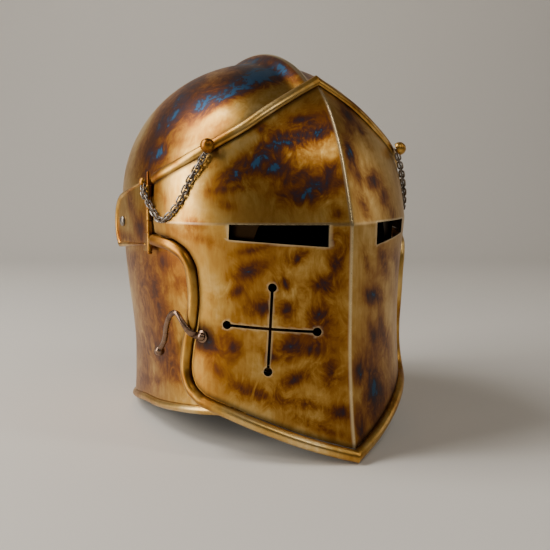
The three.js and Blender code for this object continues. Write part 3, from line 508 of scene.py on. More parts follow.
def smooth_path(points, per_span=8):
    """A centripetal curve through points."""
    points = np.asarray(points, float)
    padded = np.concatenate([[2 * points[0] - points[1]], points, [2 * points[-1] - points[-2]]])
    between = lambda p, q, low, high, t: (p * (high - t) + q * (t - low)) / (high - low)
    curve = []
    for k in range(1, len(padded) - 2):
        a, b, c, d = padded[k - 1:k + 3]
        spans = [np.linalg.norm(after - before) ** 0.5 for before, after in ((a, b), (b, c), (c, d))]
        k0, k1, k2, k3 = np.concatenate([[0], np.cumsum(spans)])
        for t in np.linspace(k1, k2, per_span, endpoint=False):
            ab, bc, cd = between(a, b, k0, k1, t), between(b, c, k1, k2, t), between(c, d, k2, k3, t)
            curve.append(between(between(ab, bc, k0, k2, t), between(bc, cd, k1, k3, t), k1, k2, t))
    curve.append(points[-1])
    return np.array(curve)


def even_path(points, count):
    """The same path at even distances."""
    lengths = np.concatenate([[0], np.cumsum(np.linalg.norm(np.diff(points, axis=0), axis=1))])
    wanted = np.linspace(0, lengths[-1], count)
    return np.stack([np.interp(wanted, lengths, points[:, k]) for k in range(3)], axis=-1)


def closed_bar(rings):
    """Points and faces of a bar whose last ring joins its first."""
    count, sides = rings.shape[:2]
    last = (count - 1) * sides
    faces = grid_faces(count, sides, 0, True)
    faces += [(last + k, last + (k + 1) % sides, (k + 1) % sides, k) for k in range(sides)]
    return rings.reshape(-1, 3), faces


def turned_rings(profile, point, direction, sides=32):
    """Rings of a turned shape: profile rows are radius and height along a direction."""
    direction = np.asarray(direction, float) / np.linalg.norm(direction)
    side = unit(np.cross(direction, [0, 0, 1] if abs(direction[2]) < 0.9 else [1, 0, 0]))
    other = np.cross(direction, side)
    angles = np.arange(sides) * 2 * math.pi / sides
    return np.array([
        [point + direction * height + radius * (side * math.cos(a) + other * math.sin(a)) for a in angles]
        for radius, height in profile
    ])


def turned(profile, point, direction, sides=32):
    """Points and faces of a turned shape that is closed at both ends."""
    return bar(turned_rings(profile, point, direction, sides))


def dome_profile(radius, height, foot=0.0, steps=8):
    """Rows of a low dome from its rim to its top."""
    turns = np.linspace(0, math.pi / 2, steps)
    return [(max(radius * math.cos(t), AXIS), foot + height * math.sin(t)) for t in turns]


def cut(piece, solid):
    """Cuts a solid, given by its points and faces, out of a piece."""
    cutter = new_solid("cutter", *solid)
    modifier = piece.modifiers.new("cut", "BOOLEAN")
    modifier.operation = "DIFFERENCE"
    modifier.object = cutter
    modifier.solver = "MANIFOLD"
    choose(piece)
    bpy.ops.object.modifier_apply(modifier=modifier.name)
    bpy.data.objects.remove(cutter, do_unlink=True)


def prism(outline, low, high):
    """A solid that runs along Y from low to high over an outline in X and Z."""
    rings = np.array([[(x, y, z) for x, z in outline] for y in (low, high)], float)
    return bar(rings)


def together(parts):
    """Several closed pieces as one list of points and faces."""
    points, faces = [], []
    for part_points, part_faces in parts:
        start = sum(len(done) for done in points)
        points.append(np.asarray(part_points))
        faces += [tuple(start + corner for corner in face) for face in part_faces]
    return np.concatenate(points), faces


def other_side(part):
    """The same piece on the other side of the helmet."""
    points, faces = part
    return np.asarray(points) * [-1, 1, 1], faces


def make_skull():
    """Skull with its comb, hollow and cut open at the face; its columns crowd at the front and the back."""
    even, crowding = np.linspace(0, 2 * math.pi, 260, endpoint=False), 0.36
    angles = even - crowding * np.sin(2 * even)
    wall_levels = np.linspace(-1, 0, 44, endpoint=False)
    dome_levels = np.sin(np.linspace(0, math.pi / 2, 60)) ** 0.9
    outer = skull_point(*np.meshgrid(angles, np.concatenate([wall_levels, dome_levels])))
    normals = grid_normals(outer, outer * [1, 1, 0], True)
    normals[-1] = [0, 0, 1]
    normals[-2] = unit(normals[-2] + [0, 0, 1])
    inner = outer - SKULL_WALL * normals
    inner[0, :, 2] = outer[0, :, 2]
    skull = mesh_piece("skull_shell", *plate(outer, inner, True), "skull", "coloured_steel", "skull")
    radius, foot = FACE_HALF_WIDTH, -5
    turns = np.linspace(0, math.pi, 40)
    arch = [(radius * math.cos(t), FACE_TOP - radius + radius * math.sin(t)) for t in turns]
    cut(skull, prism([(radius, foot), *arch, (-radius, foot)], -2 * SKULL_FRONT, 0))
    shade(skull, 32)


def make_neck_roll():
    """Rolled edge round the neck, from one side of the face opening to the other."""
    angles = np.linspace(0, math.pi / 2, 400)
    start = angles[np.searchsorted(skull_point(angles, np.full(400, -1.0))[:, 0], FACE_HALF_WIDTH)]
    edge = skull_point(np.linspace(start, 2 * math.pi - start, 220), np.full(220, -1.0))
    centre = edge - NECK_ROLL_INSET * unit(edge * [1, 1, 0]) - [0, 0, SEAT_GAP + NECK_ROLL_RADIUS]
    rings = swept_rings(centre, np.tile([0, 0, 1.0], (220, 1)), round_section(NECK_ROLL_RADIUS, 24))
    mesh_piece("neck_roll", *bar(rings), "skull", "bright_steel", "skull_neck_roll", sharp=60)


def blended(bottom, top, keel, rear, across, up):
    """Depths and heights inside four edges."""
    result = []
    for k in range(2):
        low, high = bottom(across)[k], top(across)[k]
        near, far = keel(up)[k], rear(up)[k]
        low_corners = bottom(0.0)[k] + (bottom(1.0)[k] - bottom(0.0)[k]) * across
        high_corners = top(0.0)[k] + (top(1.0)[k] - top(0.0)[k]) * across
        edges = low + (high - low) * up + near + (far - near) * across
        result.append(edges - low_corners - (high_corners - low_corners) * up)
    return result


def visor_places(across, lower, upper):
    """Depths and heights of the visor plate's right half, row by row upwards."""
    cheek_share = 0.93
    cheek_top = cheek_place(1.0)[1]
    rear_sight = hinge_edge_depth(np.float64(SIGHT_HEIGHT))
    sight_line = lambda along: (1 + (rear_sight - 1) * along, SIGHT_HEIGHT + 0 * along)
    jaw_height = jaw_place(0.0)[1]
    lower_keel = lambda up: (1.0, jaw_height + (SIGHT_HEIGHT - jaw_height) * up)
    upper_keel = lambda up: (1.0, SIGHT_HEIGHT + (PEAK_HEIGHT - SIGHT_HEIGHT) * up)

    def lower_rear(up):
        if up <= cheek_share:
            return cheek_place(up / cheek_share)
        height = cheek_top + (SIGHT_HEIGHT - cheek_top) * (up - cheek_share) / (1 - cheek_share)
        return hinge_edge_depth(height), height

    def upper_rear(up):
        height = SIGHT_HEIGHT + (brow_place(1.0)[1] - SIGHT_HEIGHT) * up
        return hinge_edge_depth(height), height

    rows = [blended(jaw_place, sight_line, lower_keel, lower_rear, across, up) for up in lower]
    rows += [blended(sight_line, brow_place, upper_keel, upper_rear, across, up) for up in upper]
    return [np.array([row[k] + 0 * across for row in rows]) for k in range(2)]


def cross_frame():
    """Middle of the cross with its directions out, along its rear arm and up."""
    point, out, back, up = visor_frame(CROSS_DEPTH, SIGHT_HEIGHT - CROSS_DROP)
    tilt = math.radians(CROSS_TILT)
    along = back * math.cos(tilt) + up * math.sin(tilt)
    return point, out, along, up * math.cos(tilt) - back * math.sin(tilt)


def box_solid(middle, half_sizes, axes):
    """A box about a middle, with half sizes along three directions."""
    corners = [(-1, -1), (1, -1), (1, 1), (-1, 1)]
    rings = np.array([[
        middle + axes[0] * a * half_sizes[0] + axes[1] * b * half_sizes[1] + axes[2] * c * half_sizes[2]
        for a, b in corners] for c in (-1, 1)])
    return bar(rings)


def cross_solids():
    """Solids of the pierced cross: four slots that meet, each with a round end."""
    point, out, back, up = cross_frame()
    half_slot = CROSS_SLOT / 2
    for turn, length in rows_of(CROSS_ARMS):
        angle = math.radians(turn)
        along = back * math.cos(angle) + up * math.sin(angle)
        across = np.cross(out, along)
        half = (length + half_slot) / 2
        half_sizes = (half, half_slot, CROSS_CUT_REACH)
        yield box_solid(point + along * (half - half_slot), half_sizes, (along, across, out))
        hole = [(CROSS_HOLE, -CROSS_CUT_REACH), (CROSS_HOLE, CROSS_CUT_REACH)]
        yield turned(hole, point + along * length, out, 28)


def make_visor():
    """Visor plate with its keel and brow crease, the sight slits and the cross."""
    near_keel = [0, 0.0016, 0.0032, 0.005, 0.0075, 0.011, 0.016, 0.023]
    across = np.concatenate([near_keel, np.linspace(0.032, 1, 62)])
    half = visor_point(*visor_places(across, np.linspace(0, 1, 96), np.linspace(0, 1, 56)[1:]))
    outer = np.concatenate([half[:, ::-1], half[:, 1:] * [-1, 1, 1]], axis=1)
    inner = outer - VISOR_WALL * grid_normals(outer, [0, -1, 0])
    visor = mesh_piece("visor_shell", *plate(outer, inner), "visor", "coloured_steel", "visor")
    top = SIGHT_HEIGHT - SLIT_ABOVE_GAP
    for side, front, rear, front_depth, rear_depth in rows_of(SIGHT_SLITS):
        outline = [(side * front, top), (side * rear, top), (side * rear, SIGHT_HEIGHT - rear_depth),
                   (side * front, SIGHT_HEIGHT - front_depth)]
        cut(visor, prism(outline, -2 * SIGHT_REACH, 0))
    for solid in cross_solids():
        cut(visor, solid)
    shade(visor, 24)


def border_rings(depth, height, section, keel_limit, rise=0.0):
    """Rings of a bar along the visor's border, mitred in the middle plane."""
    outs = visor_normal(np.minimum(depth, keel_limit), height)
    edge = visor_point(depth, height, 0) + outs * rise
    ahead, across, out = stations(edge, outs)
    rings = edge[:, None] + section[:, :1] * across[:, None] + section[:, 1:] * out[:, None]
    return mitred(rings, ahead)


def make_visor_roll():
    """Rolled edge down each cheek and along the jaw."""
    section = round_section(VISOR_ROLL_RADIUS, 24) + [VISOR_ROLL_RADIUS + ROLL_GAP, 0]
    rings = border_rings(*roll_places(130, 80), section, 0.995, VISOR_ROLL_STAND - VISOR_WALL / 2)
    mesh_piece("visor_roll", *bar(rings), "visor", "bright_steel", "visor_lower_roll", sharp=50)


def make_moulding():
    """Half round bar along the brow, mitred at the peak."""
    half, foot, rise = MOULDING_WIDTH / 2, SEAT_GAP + 0.25, MOULDING_HEIGHT - 0.55
    turns = np.linspace(math.pi, 0, 15)
    arc = [(half * (1 + math.cos(t)), foot + rise * math.sin(t) ** 0.9) for t in turns]
    section = np.array([(0, SEAT_GAP), *arc, (MOULDING_WIDTH, SEAT_GAP)])
    rings = border_rings(*brow_place(np.linspace(1, 0, 120)), section, 0.99)
    mesh_piece("brow_moulding", *bar(rings), "visor", "bright_steel", "visor_brow_moulding", sharp=50)


ARM_RADII = np.linspace(27.2, 80, 54)
ARM_TURNS = np.linspace(0, 2 * math.pi, 96, endpoint=False)
ARM_SIDES = SLIDE_GAP + np.array([
    np.max(skull_side(PIVOT[1] + r * np.cos(ARM_TURNS), PIVOT[2] + r * np.sin(ARM_TURNS))) for r in ARM_RADII
])


def arm_point(y, z, raised):
    """Points on an arm, counted from its pivot and raised from its inner face."""
    face = np.interp(np.hypot(y, z), ARM_RADII, ARM_SIDES)
    return np.stack([-face - raised, PIVOT[1] + y, PIVOT[2] + z], axis=-1)


PIN_Y = -HINGE_AHEAD
PIN_X = -np.interp(HINGE_AHEAD + PIVOT[1], ARM_RADII, ARM_SIDES) - KNUCKLE_RADIUS


def knuckle_spans():
    """Low and high ends of the hinge's knuckles, bottom to top, and which are the arm's."""
    start = float(cheek_place(1.0)[1]) - KNUCKLE_HEIGHT
    for k in range(KNUCKLE_COUNT):
        low = start + k * (KNUCKLE_HEIGHT + SEAT_GAP)
        yield (low if k else low - KNUCKLE_FOOT), low + KNUCKLE_HEIGHT, k % 2 == 0


def knuckle_parts(low, high, reach, plate_x):
    """Barrel with softened ends, and the tab that joins it to its plate."""
    radius, soft = KNUCKLE_RADIUS, 0.35
    profile = [(AXIS, low), (radius - soft, low), (radius, low + soft), (radius, high - soft),
               (radius - soft, high), (AXIS, high)]
    barrel = turned(profile, np.array([PIN_X, PIN_Y, 0]), [0, 0, 1], 24)
    middle = np.array([plate_x, PIN_Y + reach / 2, (low + high) / 2])
    tab = box_solid(middle, (KNUCKLE_TAB_WALL / 2, abs(reach) / 2, (high - low) / 2), np.eye(3))
    return [barrel, tab]


def arm_outline():
    """Even places round an arm, counted from its pivot."""
    bends = np.array([
        [(-0.2 * ARM_BACK, ARM_TOP_BACK), (0.92 * ARM_BACK, 0.85 * ARM_TOP_BACK), (ARM_BACK, 0)],
        [(ARM_BACK, 0), (ARM_BACK, -0.7 * ARM_BOTTOM_BACK), (0.55 * ARM_BACK, -ARM_BOTTOM_BACK)],
    ])
    outline = [(ARM_FRONT, ARM_TOP_FRONT)]
    for a, b, c in bends:
        outline += [(1 - t) ** 2 * a + 2 * t * (1 - t) * b + t * t * c for t in np.linspace(0, 1, 24)]
    outline += [(ARM_FRONT, -ARM_BOTTOM_FRONT), outline[0]]
    loop = even_path(np.array([(y, z, 0) for y, z in outline]), 241)[:-1]
    return loop[:, 0], loop[:, 1]


def make_arm():
    """Arm with its raised rim, leaf and hinge knuckles."""
    y, z = arm_outline()
    rimmed = np.clip((y - ARM_FRONT - 0.6) / 2.5, 0, 1)
    rim_insets = [0, 0.25, 0.7, 1.3, 2.1, 2.9, 3.5, 3.9, 4.4, 5.2]
    outer, inner = [], []
    for inset in [*rim_insets, *np.linspace(8, 80, 22)]:
        share = np.clip(1 - inset / np.hypot(y, z), 0, 1)
        bump = np.clip(math.sin(math.pi * min(inset / ARM_RIM_WIDTH, 1)), 0, 1) ** 0.7
        softened = 0.5 if inset == 0 else 0
        lift = ARM_WALL + ARM_RIM_HEIGHT * bump * rimmed - softened
        outer.append(arm_point(share * y, share * z, lift))
        inner.append(arm_point(share * y, share * z, 0))
    parts = [plate(np.array(outer), np.array(inner), True)]
    for low, high, on_arm in knuckle_spans():
        if on_arm:
            plate_x = arm_point(ARM_FRONT, (low + high) / 2 - PIVOT[2], ARM_WALL / 2)[0]
            parts += knuckle_parts(low, high, HINGE_GAP + ARM_WALL, plate_x)
    foot = next(knuckle_spans())[0]
    _, half_depth, half_height = LEAF_HALF_SIZES
    leaf_x = arm_point(ARM_FRONT + half_depth, foot - PIVOT[2], ARM_WALL)[0]
    middle = np.array([leaf_x, half_depth - HINGE_AHEAD, foot + half_height])
    parts.append(box_solid(middle, LEAF_HALF_SIZES, np.eye(3)))
    return together(parts)


def make_visor_knuckles():
    """The visor's own knuckles of both hinges."""
    parts = []
    for low, high, on_arm in knuckle_spans():
        if not on_arm:
            height = (low + high) / 2
            plate_x = visor_point(hinge_edge_depth(height), height, 0)[0] + VISOR_WALL / 2
            parts += knuckle_parts(low, high, -HINGE_GAP - VISOR_WALL, plate_x)
    parts += [other_side(part) for part in parts]
    mesh_piece("visor_knuckles", *together(parts), "visor", "bright_steel", "visor")


def make_pin():
    """Hinge pin with a head at its foot, standing up above the hinge."""
    spans = list(knuckle_spans())
    low, high = spans[0][0] - SEAT_GAP, spans[-1][1] + PIN_STAND
    shank, head = PIN_RADIUS, PIN_HEAD_RADIUS
    profile = [(AXIS, low - 1.5), (head - 0.4, low - 1.5), (head, low - 1.1), (head, low - 0.2),
               (head - 0.2, low), (shank, low), (shank, high), (shank - 0.3, high + 0.7), (AXIS, high + 1.1)]
    return turned(profile, np.array([PIN_X, PIN_Y, 0]), [0, 0, 1], 20)


def make_pivot_rivet():
    """Domed rivet at the pivot with its tail inside the skull."""
    seat = PIVOT + [-ARM_SIDES[0] - ARM_WALL - SEAT_GAP, 0, 0]
    tail = -float(skull_side(PIVOT[1], PIVOT[2])) + SKULL_WALL + 1.2
    grip = tail - seat[0]
    radius, shank = RIVET_RADIUS, RIVET_SHANK_RADIUS
    profile = [(AXIS, -grip - RIVET_TAIL), (radius, -grip - RIVET_TAIL), (radius, -grip), (shank, -grip),
               (shank, 0), (radius - 0.2, 0), *dome_profile(radius, RIVET_DOME, 0.2)]
    return turned(profile, seat, [-1, 0, 0])


def chain_head_place():
    """Foot of the chain's head on the arm, and its direction."""
    lift = ARM_WALL + ARM_RIM_HEIGHT + SEAT_GAP
    foot = arm_point(ARM_FRONT + CHAIN_HEAD_INSET, ARM_TOP_FRONT - CHAIN_HEAD_INSET, lift)
    return foot, np.array([-1.0, 0, 0])


def chain_ball_place():
    """Foot of the chain's ball on the moulding, and its direction."""
    point, out, _, _ = visor_frame(*brow_place(CHAIN_BALL_ALONG))
    run = unit(visor_point(*brow_place(CHAIN_BALL_ALONG - 0.02), 0) - point)
    inward = unit(np.cross(run, out))
    return point + inward * 0.95 * MOULDING_WIDTH + out * (MOULDING_HEIGHT + SEAT_GAP), out


def make_chain_head():
    """Domed head on a neck that goes through the arm."""
    radius, shank, neck = CHAIN_HEAD_RADIUS, CHAIN_NECK_RADIUS, CHAIN_NECK_LENGTH
    through = ARM_WALL + ARM_RIM_HEIGHT
    profile = [(AXIS, -through), (shank, -through), (shank, neck), (radius - 0.3, neck),
               *dome_profile(radius, 0.85 * radius, neck + 0.2)]
    return turned(profile, *chain_head_place())


def make_chain_ball():
    """Ball on a collar and neck."""
    radius, neck = CHAIN_BALL_RADIUS, CHAIN_NECK_LENGTH
    turns = np.linspace(-0.14 * math.pi, 0.5 * math.pi, 12)
    ball = [(max(radius * math.cos(t), AXIS), neck + radius * (0.43 + math.sin(t))) for t in turns]
    profile = [(AXIS, 0), (2.6, 0), (2.6, 0.25), (0.9, 0.5), (CHAIN_NECK_RADIUS, neck), *ball]
    return turned(profile, *chain_ball_place())


def link(middle, along, across, inner_length):
    """One link of round wire."""
    straight = (inner_length - LINK_WIDTH) / 2
    bend = LINK_WIDTH / 2 + LINK_WIRE
    side = np.cross(along, across)
    turns = np.arange(10) * 2 * math.pi / 10
    rings = []
    for shift, first in ((straight, -math.pi / 2), (-straight, math.pi / 2)):
        for angle in np.linspace(first, first + math.pi, 11):
            outward = along * math.cos(angle) + across * math.sin(angle)
            centre = middle + along * shift + outward * bend
            rings.append([centre + LINK_WIRE * (outward * math.cos(t) + side * math.sin(t)) for t in turns])
    return closed_bar(np.array(rings))


def chain_path():
    """Route of a chain from its head's neck over the visor to its ball's neck."""
    head, head_out = chain_head_place()
    ball, ball_out = chain_ball_place()
    on_visor = []
    for depth, height, out in rows_of(CHAIN_ROUTE):
        point, direction, _, _ = visor_frame(depth, SIGHT_HEIGHT + height)
        on_visor.append(point + direction * out)
    return smooth_path([head + 0.9 * head_out, *on_visor, ball + 1.1 * ball_out], 16), head_out, ball_out


def make_chain():
    """Chain of small round links, each through the next."""
    path, head_out, ball_out = chain_path()
    length = np.sum(np.linalg.norm(np.diff(path, axis=0), axis=1))
    count = 2 * int(length / LINK_PITCH / 2) + 1
    inner_length = (length + LINK_END_REACH) / count + 2 * LINK_WIRE - LINK_OVERLAP
    steps = 10
    fine = even_path(path, steps * count + 1)
    parts = []
    for k in range(count):
        at = steps * k + steps // 2
        along = unit(fine[at + 3] - fine[at - 3])
        share = k / (count - 1)
        out = unit(head_out * (1 - share) + ball_out * share)
        flat = unit(np.cross(out, along))
        raised = np.cross(along, flat)
        turn = (k % 2) * math.pi / 2 + math.sin(math.pi * share) * math.pi / 4
        parts.append(link(fine[at], along, flat * math.cos(turn) + raised * math.sin(turn), inner_length))
    return together(parts)


def hook_frame():
    """Middle of the hook's stud with the directions out, back and up."""
    return visor_frame(HOOK_DEPTH, SIGHT_HEIGHT - HOOK_DROP)


def make_hook():
    """Latch hook: a flat palm with a hole, a rod over the rolled edge and a ball at its end."""
    point, out, back, up = hook_frame()
    route = np.array([point + b * back + u * up + o * out for b, u, o, _, _ in rows_of(HOOK_ROUTE)])
    path = smooth_path(route, 10)
    where = np.linspace(0, len(route) - 1, len(path))
    scales = [np.interp(where, np.arange(len(route)), HOOK_ROUTE[column]) for column in ("wide", "thick")]
    section = round_section(HOOK_RADIUS, 18)[None] * np.stack(scales, axis=-1)[:, None]
    rod = bar(swept_rings(path, np.tile(out, (len(path), 1)), section))
    radius = HOOK_BALL_RADIUS
    rows = [(max(radius * math.cos(t), AXIS), radius * math.sin(t)) for t in np.linspace(-1.57, 1.57, 17)]
    ball = turned(rows, route[-1], up)
    hole, radius, low, high = PALM_HOLE, PALM_RADIUS, SEAT_GAP, PALM_TOP
    rows = [(hole, low), (radius - 0.3, low), (radius, low + 0.25), (radius, high - 0.25),
            (radius - 0.3, high), (hole, high)]
    palm = closed_bar(turned_rings(rows, point, out))
    mesh_piece("hook", *together([rod, ball, palm]), "hook", "blackened_steel", "latch_hook", sharp=40)


def make_stud():
    """Stud of the hook, with a domed head and a tail inside the visor."""
    point, out, _, _ = hook_frame()
    radius, shank = STUD_RADIUS, STUD_SHANK_RADIUS
    profile = [(AXIS, -3.5), (radius, -3.5), (radius, -1.9), (shank, -1.9), (shank, 2.2), (radius - 0.2, 2.2),
               *dome_profile(radius, 2.8, 2.4)]
    mesh_piece("hook_stud_head", *turned(profile, point, out), "visor", "blackened_steel", "hook_stud")


def make_pair(name, part, body, slot_name, node):
    """A piece at each side of the helmet."""
    mesh_piece(name + "_near", *part, body, slot_name, node + "_right")
    mesh_piece(name + "_far", *other_side(part), body, slot_name, node + "_left")


make_skull()
make_neck_roll()
make_visor()
make_visor_roll()
make_moulding()
make_visor_knuckles()
make_pair("arm", make_arm(), "visor", "coloured_steel", "hinge_arm")
make_pair("pin", make_pin(), "visor", "bright_steel", "hinge_pin")
make_pair("rivet", make_pivot_rivet(), "skull", "grey_steel", "pivot_rivet")
make_pair("chain_rivet", make_chain_head(), "visor", "bright_steel", "chain_head")
make_pair("chain_knob", make_chain_ball(), "visor", "bright_steel", "chain_ball")
make_pair("links", make_chain(), "visor", "grey_steel", "chain")
make_hook()
make_stud()

# Stains of the heat colouring where the photograph shows them, and painted highlights: middle, half length
# and half width in its pixels, turn in degrees and strength, which is below nought for painted highlights
# that make the steel paler
SKULL_STAINS_AND_HIGHLIGHTS = table(
    "u v long wide turn strength",
    (236, 92, 34, 8, -24, 1.15), (208, 104, 16, 9, -38, 0.95), (262, 76, 26, 8, -12, 1.1),
    (250, 62, 20, 5, -12, 0.8), (284, 70, 12, 6, 35, 0.75), (160, 153, 12, 7, -25, 1.1),
    (196, 84, 12, 9, -40, 0.35), (173, 118, 26, 7, -58, 0.55), (158, 128, 22, 4, -62, 0.5),
    (181, 98, 18, 4, -50, 0.45), (146, 172, 9, 6, -40, 0.5), (142, 285, 26, 5, 78, 0.29),
    (157, 300, 34, 5, 74, 0.36), (168, 330, 26, 6, 82, 0.32), (147, 345, 22, 5, 86, 0.3),
    (176, 372, 16, 7, 60, 0.32), (150, 380, 12, 5, 20, 0.29), (182, 290, 16, 5, 80, 0.36),
    (163, 262, 12, 8, 30, 0.25), (160, 352, 9, 8, 0, 0.36), (133, 262, 14, 5, 80, 0.25),
    (318, 88, 8, 4, 40, 0.5), (215, 118, 40, 9, -33, -1), (176, 150, 16, 8, -40, -0.9),
    (272, 92, 16, 5, -20, -0.6), (183, 300, 7, 40, 0, -0.7), (165, 388, 18, 7, 15, -0.6),
)
VISOR_STAINS_AND_HIGHLIGHTS = table(
    "u v long wide turn strength",
    (302, 120, 15, 4.5, -6, 0.78), (262, 130, 9, 4, 20, 0.62), (271, 146, 18, 8, -22, 0.85),
    (290, 140, 18, 7, -16, 0.9), (318, 133, 16, 6, -20, 0.85), (252, 164, 20, 9, -30, 0.95),
    (232, 176, 18, 7, -22, 1.08), (276, 168, 14, 7, -15, 0.85), (225, 189, 20, 4, -4, 0.72),
    (310, 192, 20, 9, -12, 0.85), (296, 178, 14, 6, -25, 0.62), (328, 172, 12, 6, -50, 0.5),
    (283, 196, 12, 5, 10, 0.5), (194, 224, 9, 5, 10, 0.6), (205, 240, 12, 5, 20, 0.45),
    (228, 206, 6, 4, 30, 0.5), (166, 200, 9, 6, 40, 0.42), (212, 165, 12, 4, -20, 0.45),
    (336, 214, 6, 4, 60, 0.5), (298, 257, 10, 5, -20, 0.75), (248, 272, 15, 6, -20, 0.68),
    (284, 284, 9, 7, 20, 0.66), (325, 285, 12, 8, -10, 0.8), (337, 262, 20, 6, -70, 0.66),
    (262, 308, 11, 8, 0, 0.7), (287, 309, 9, 8, 0, 0.7), (319, 317, 11, 11, 60, 0.72),
    (235, 292, 10, 5, -30, 0.5), (291, 347, 11, 9, -30, 0.76), (273, 356, 7, 6, 0, 0.66),
    (314, 348, 9, 7, -20, 0.5), (234, 348, 9, 5, 60, 0.42), (294, 380, 18, 6, -30, 0.62),
    (258, 394, 20, 7, 18, 0.66), (240, 388, 10, 6, 40, 0.6), (305, 404, 18, 5, 12, 0.55),
    (340, 412, 8, 6, 0, 0.74), (330, 372, 6, 16, 0, 0.5), (208, 342, 10, 8, 20, 1.0),
    (206, 330, 7, 9, 0, 0.7), (322, 428, 22, 4, 22, 0.5), (334, 240, 8, 5, -60, 0.5),
    (255, 250, 14, 3.5, -12, 0.42), (212, 300, 9, 4, 70, 0.3), (218, 370, 10, 5, 50, 0.3),
    (186, 196, 26, 12, -25, -0.9), (206, 262, 11, 34, 0, -0.9), (222, 214, 20, 6, 8, -0.8),
    (210, 322, 10, 14, 0, -0.7), (232, 150, 30, 5, -30, -0.6), (214, 385, 8, 12, -30, -0.5),
)
FAR_STAINS = table(
    "u v long wide turn strength",
    (348, 116, 14, 4, 76, 0.8), (350, 152, 13, 4, 75, 1.0), (362, 132, 14, 3, 60, 0.6),
    (374, 181, 9, 6, 70, 0.88), (364, 206, 13, 3.5, 70, 0.55), (384, 196, 12, 4, 74, 0.66),
    (392, 214, 8, 3, 80, 0.5), (358, 176, 10, 3, 75, 0.5), (373, 296, 7, 6, 0, 0.95),
    (366, 262, 12, 3, 80, 0.5), (384, 262, 14, 4, 78, 0.6), (396, 262, 12, 3, 86, 0.5),
    (374, 390, 22, 7, 84, 0.95), (360, 372, 14, 4, 84, 0.66), (385, 340, 20, 4, 84, 0.6),
    (396, 400, 20, 5, 86, 0.6), (361, 430, 16, 4, 84, 0.6), (384, 432, 12, 5, 60, 0.6),
    (372, 334, 10, 3, 84, 0.5),
)
ARM_STAINS = table(
    "u v long wide turn strength",
    (131, 205, 16, 4, 86, 0.45), (140, 228, 12, 4, 80, 0.5), (127, 238, 9, 4, 30, 0.4),
)


def stain_field(points, stains):
    """How strongly the stains colour each point, as the photograph's camera sees them; rows below nought are
    painted highlights that make the steel paler.
    """
    u, v = seen_at(points)
    clear, peak, pale = np.ones(len(points)), np.zeros(len(points)), np.zeros(len(points))
    for middle_u, middle_v, long, wide, turn, strength in rows_of(stains):
        cosine, sine = math.cos(math.radians(turn)), math.sin(math.radians(turn))
        du, dv = u - middle_u, v - middle_v
        away = ((du * cosine + dv * sine) / long) ** 2 + ((dv * cosine - du * sine) / wide) ** 2
        spot = strength * np.exp(-0.8 * away ** 0.8)
        cloud = strength * np.exp(-away / 6)
        clear *= 1 - np.clip(0.35 * spot + 0.2 * cloud, 0, 1)
        pale = np.maximum(pale, -spot)
        peak = np.maximum(peak, spot)
    return np.clip(0.72 * peak + 0.55 * (1 - clear), 0, 1.25) * (1 - 0.8 * pale) - 0.12 * pale


def scattered_field(points, seed, count, size):
    """Soft stains at random places, for the sides that the photograph doesn't show."""
    chance = np.random.default_rng(seed)
    field = np.zeros(len(points))
    for _ in range(count):
        middle = points[chance.integers(len(points))]
        spread = size * chance.uniform(0.5, 1.5) * np.array([1, 1, chance.uniform(0.5, 1.6)])
        strength = chance.uniform(0.35, 0.95)
        away = np.sum(((points - middle) / spread) ** 2, axis=1)
        field = np.maximum(field, strength * np.exp(-away ** 0.8))
    return field


def smooth_step(value, low, high):
    """Nought up to one value, one from another on, and smooth between them."""
    t = np.clip((value - low) / (high - low), 0, 1)
    return t * t * (3 - 2 * t)


def inside_shade(points, outs):
    """Painted shade: one on the inside of the shells, nought on the outside."""
    inwards = np.minimum(points * [0, 0, 1], [0, 0, SHELL_MIDDLE]) - points
    facing = np.sum(inwards * outs, axis=1) / np.linalg.norm(inwards, axis=1)
    return smooth_step(facing, 0.15, 0.35)


def piece_points(piece):
    """A piece's points in millimetres from the ear line, and the directions out of it."""
    count = len(piece.data.vertices)
    points, outs = np.empty(count * 3), np.empty(count * 3)
    piece.data.vertices.foreach_get("co", points)
    piece.data.vertices.foreach_get("normal", outs)
    return points.reshape(-1, 3) / MM - [0, EAR_LINE, 0], outs.reshape(-1, 3)


def store(piece, name, values):
    """Keeps a value for each of a piece's points."""
    attribute = piece.data.attributes.new(name, "FLOAT", "POINT")
    attribute.data.foreach_set("value", np.asarray(values, np.float32))


def store_painted_shade(piece, *darks):
    """Keeps the strongest of several painted shade values for each of a piece's points."""
    store(piece, "painted_shade", np.clip(np.max(darks, axis=0), 0, 1))


def distance_to_path(points, path):
    """Distance from each point to the nearest of a path's points."""
    nearest = np.full(len(points), 1e9)
    for start in range(0, len(points), 4000):
        chunk = points[start:start + 4000]
        gaps = np.linalg.norm(chunk[:, None] - path[None], axis=2)
        nearest[start:start + 4000] = gaps.min(axis=1)
    return nearest


def edge_distances(points):
    """Distances to the moulding and to the rolled edge, on both sides."""
    for places in (brow_place(np.linspace(1, 0, 160)), roll_places(130, 110)):
        line = visor_point(*places, 0)
        yield distance_to_path(points, np.concatenate([line, line * [-1, 1, 1]]))


def slit_distance(points):
    """Distance to the outlines of the sight slits in a front view."""
    nearest = np.full(len(points), np.inf)
    for side, front, rear, front_depth, rear_depth in rows_of(SIGHT_SLITS):
        x, z = side * points[:, 0], points[:, 2]
        low = SIGHT_HEIGHT - np.interp(x, [front, rear], [front_depth, rear_depth])
        dx, dz = np.maximum(front - x, x - rear), np.maximum(low - z, z - SIGHT_HEIGHT)
        outside = np.hypot(np.maximum(dx, 0), np.maximum(dz, 0))
        gap = np.where((dx < 0) & (dz < 0), -np.maximum(dx, dz), outside)
        nearest = np.minimum(nearest, gap)
    return nearest


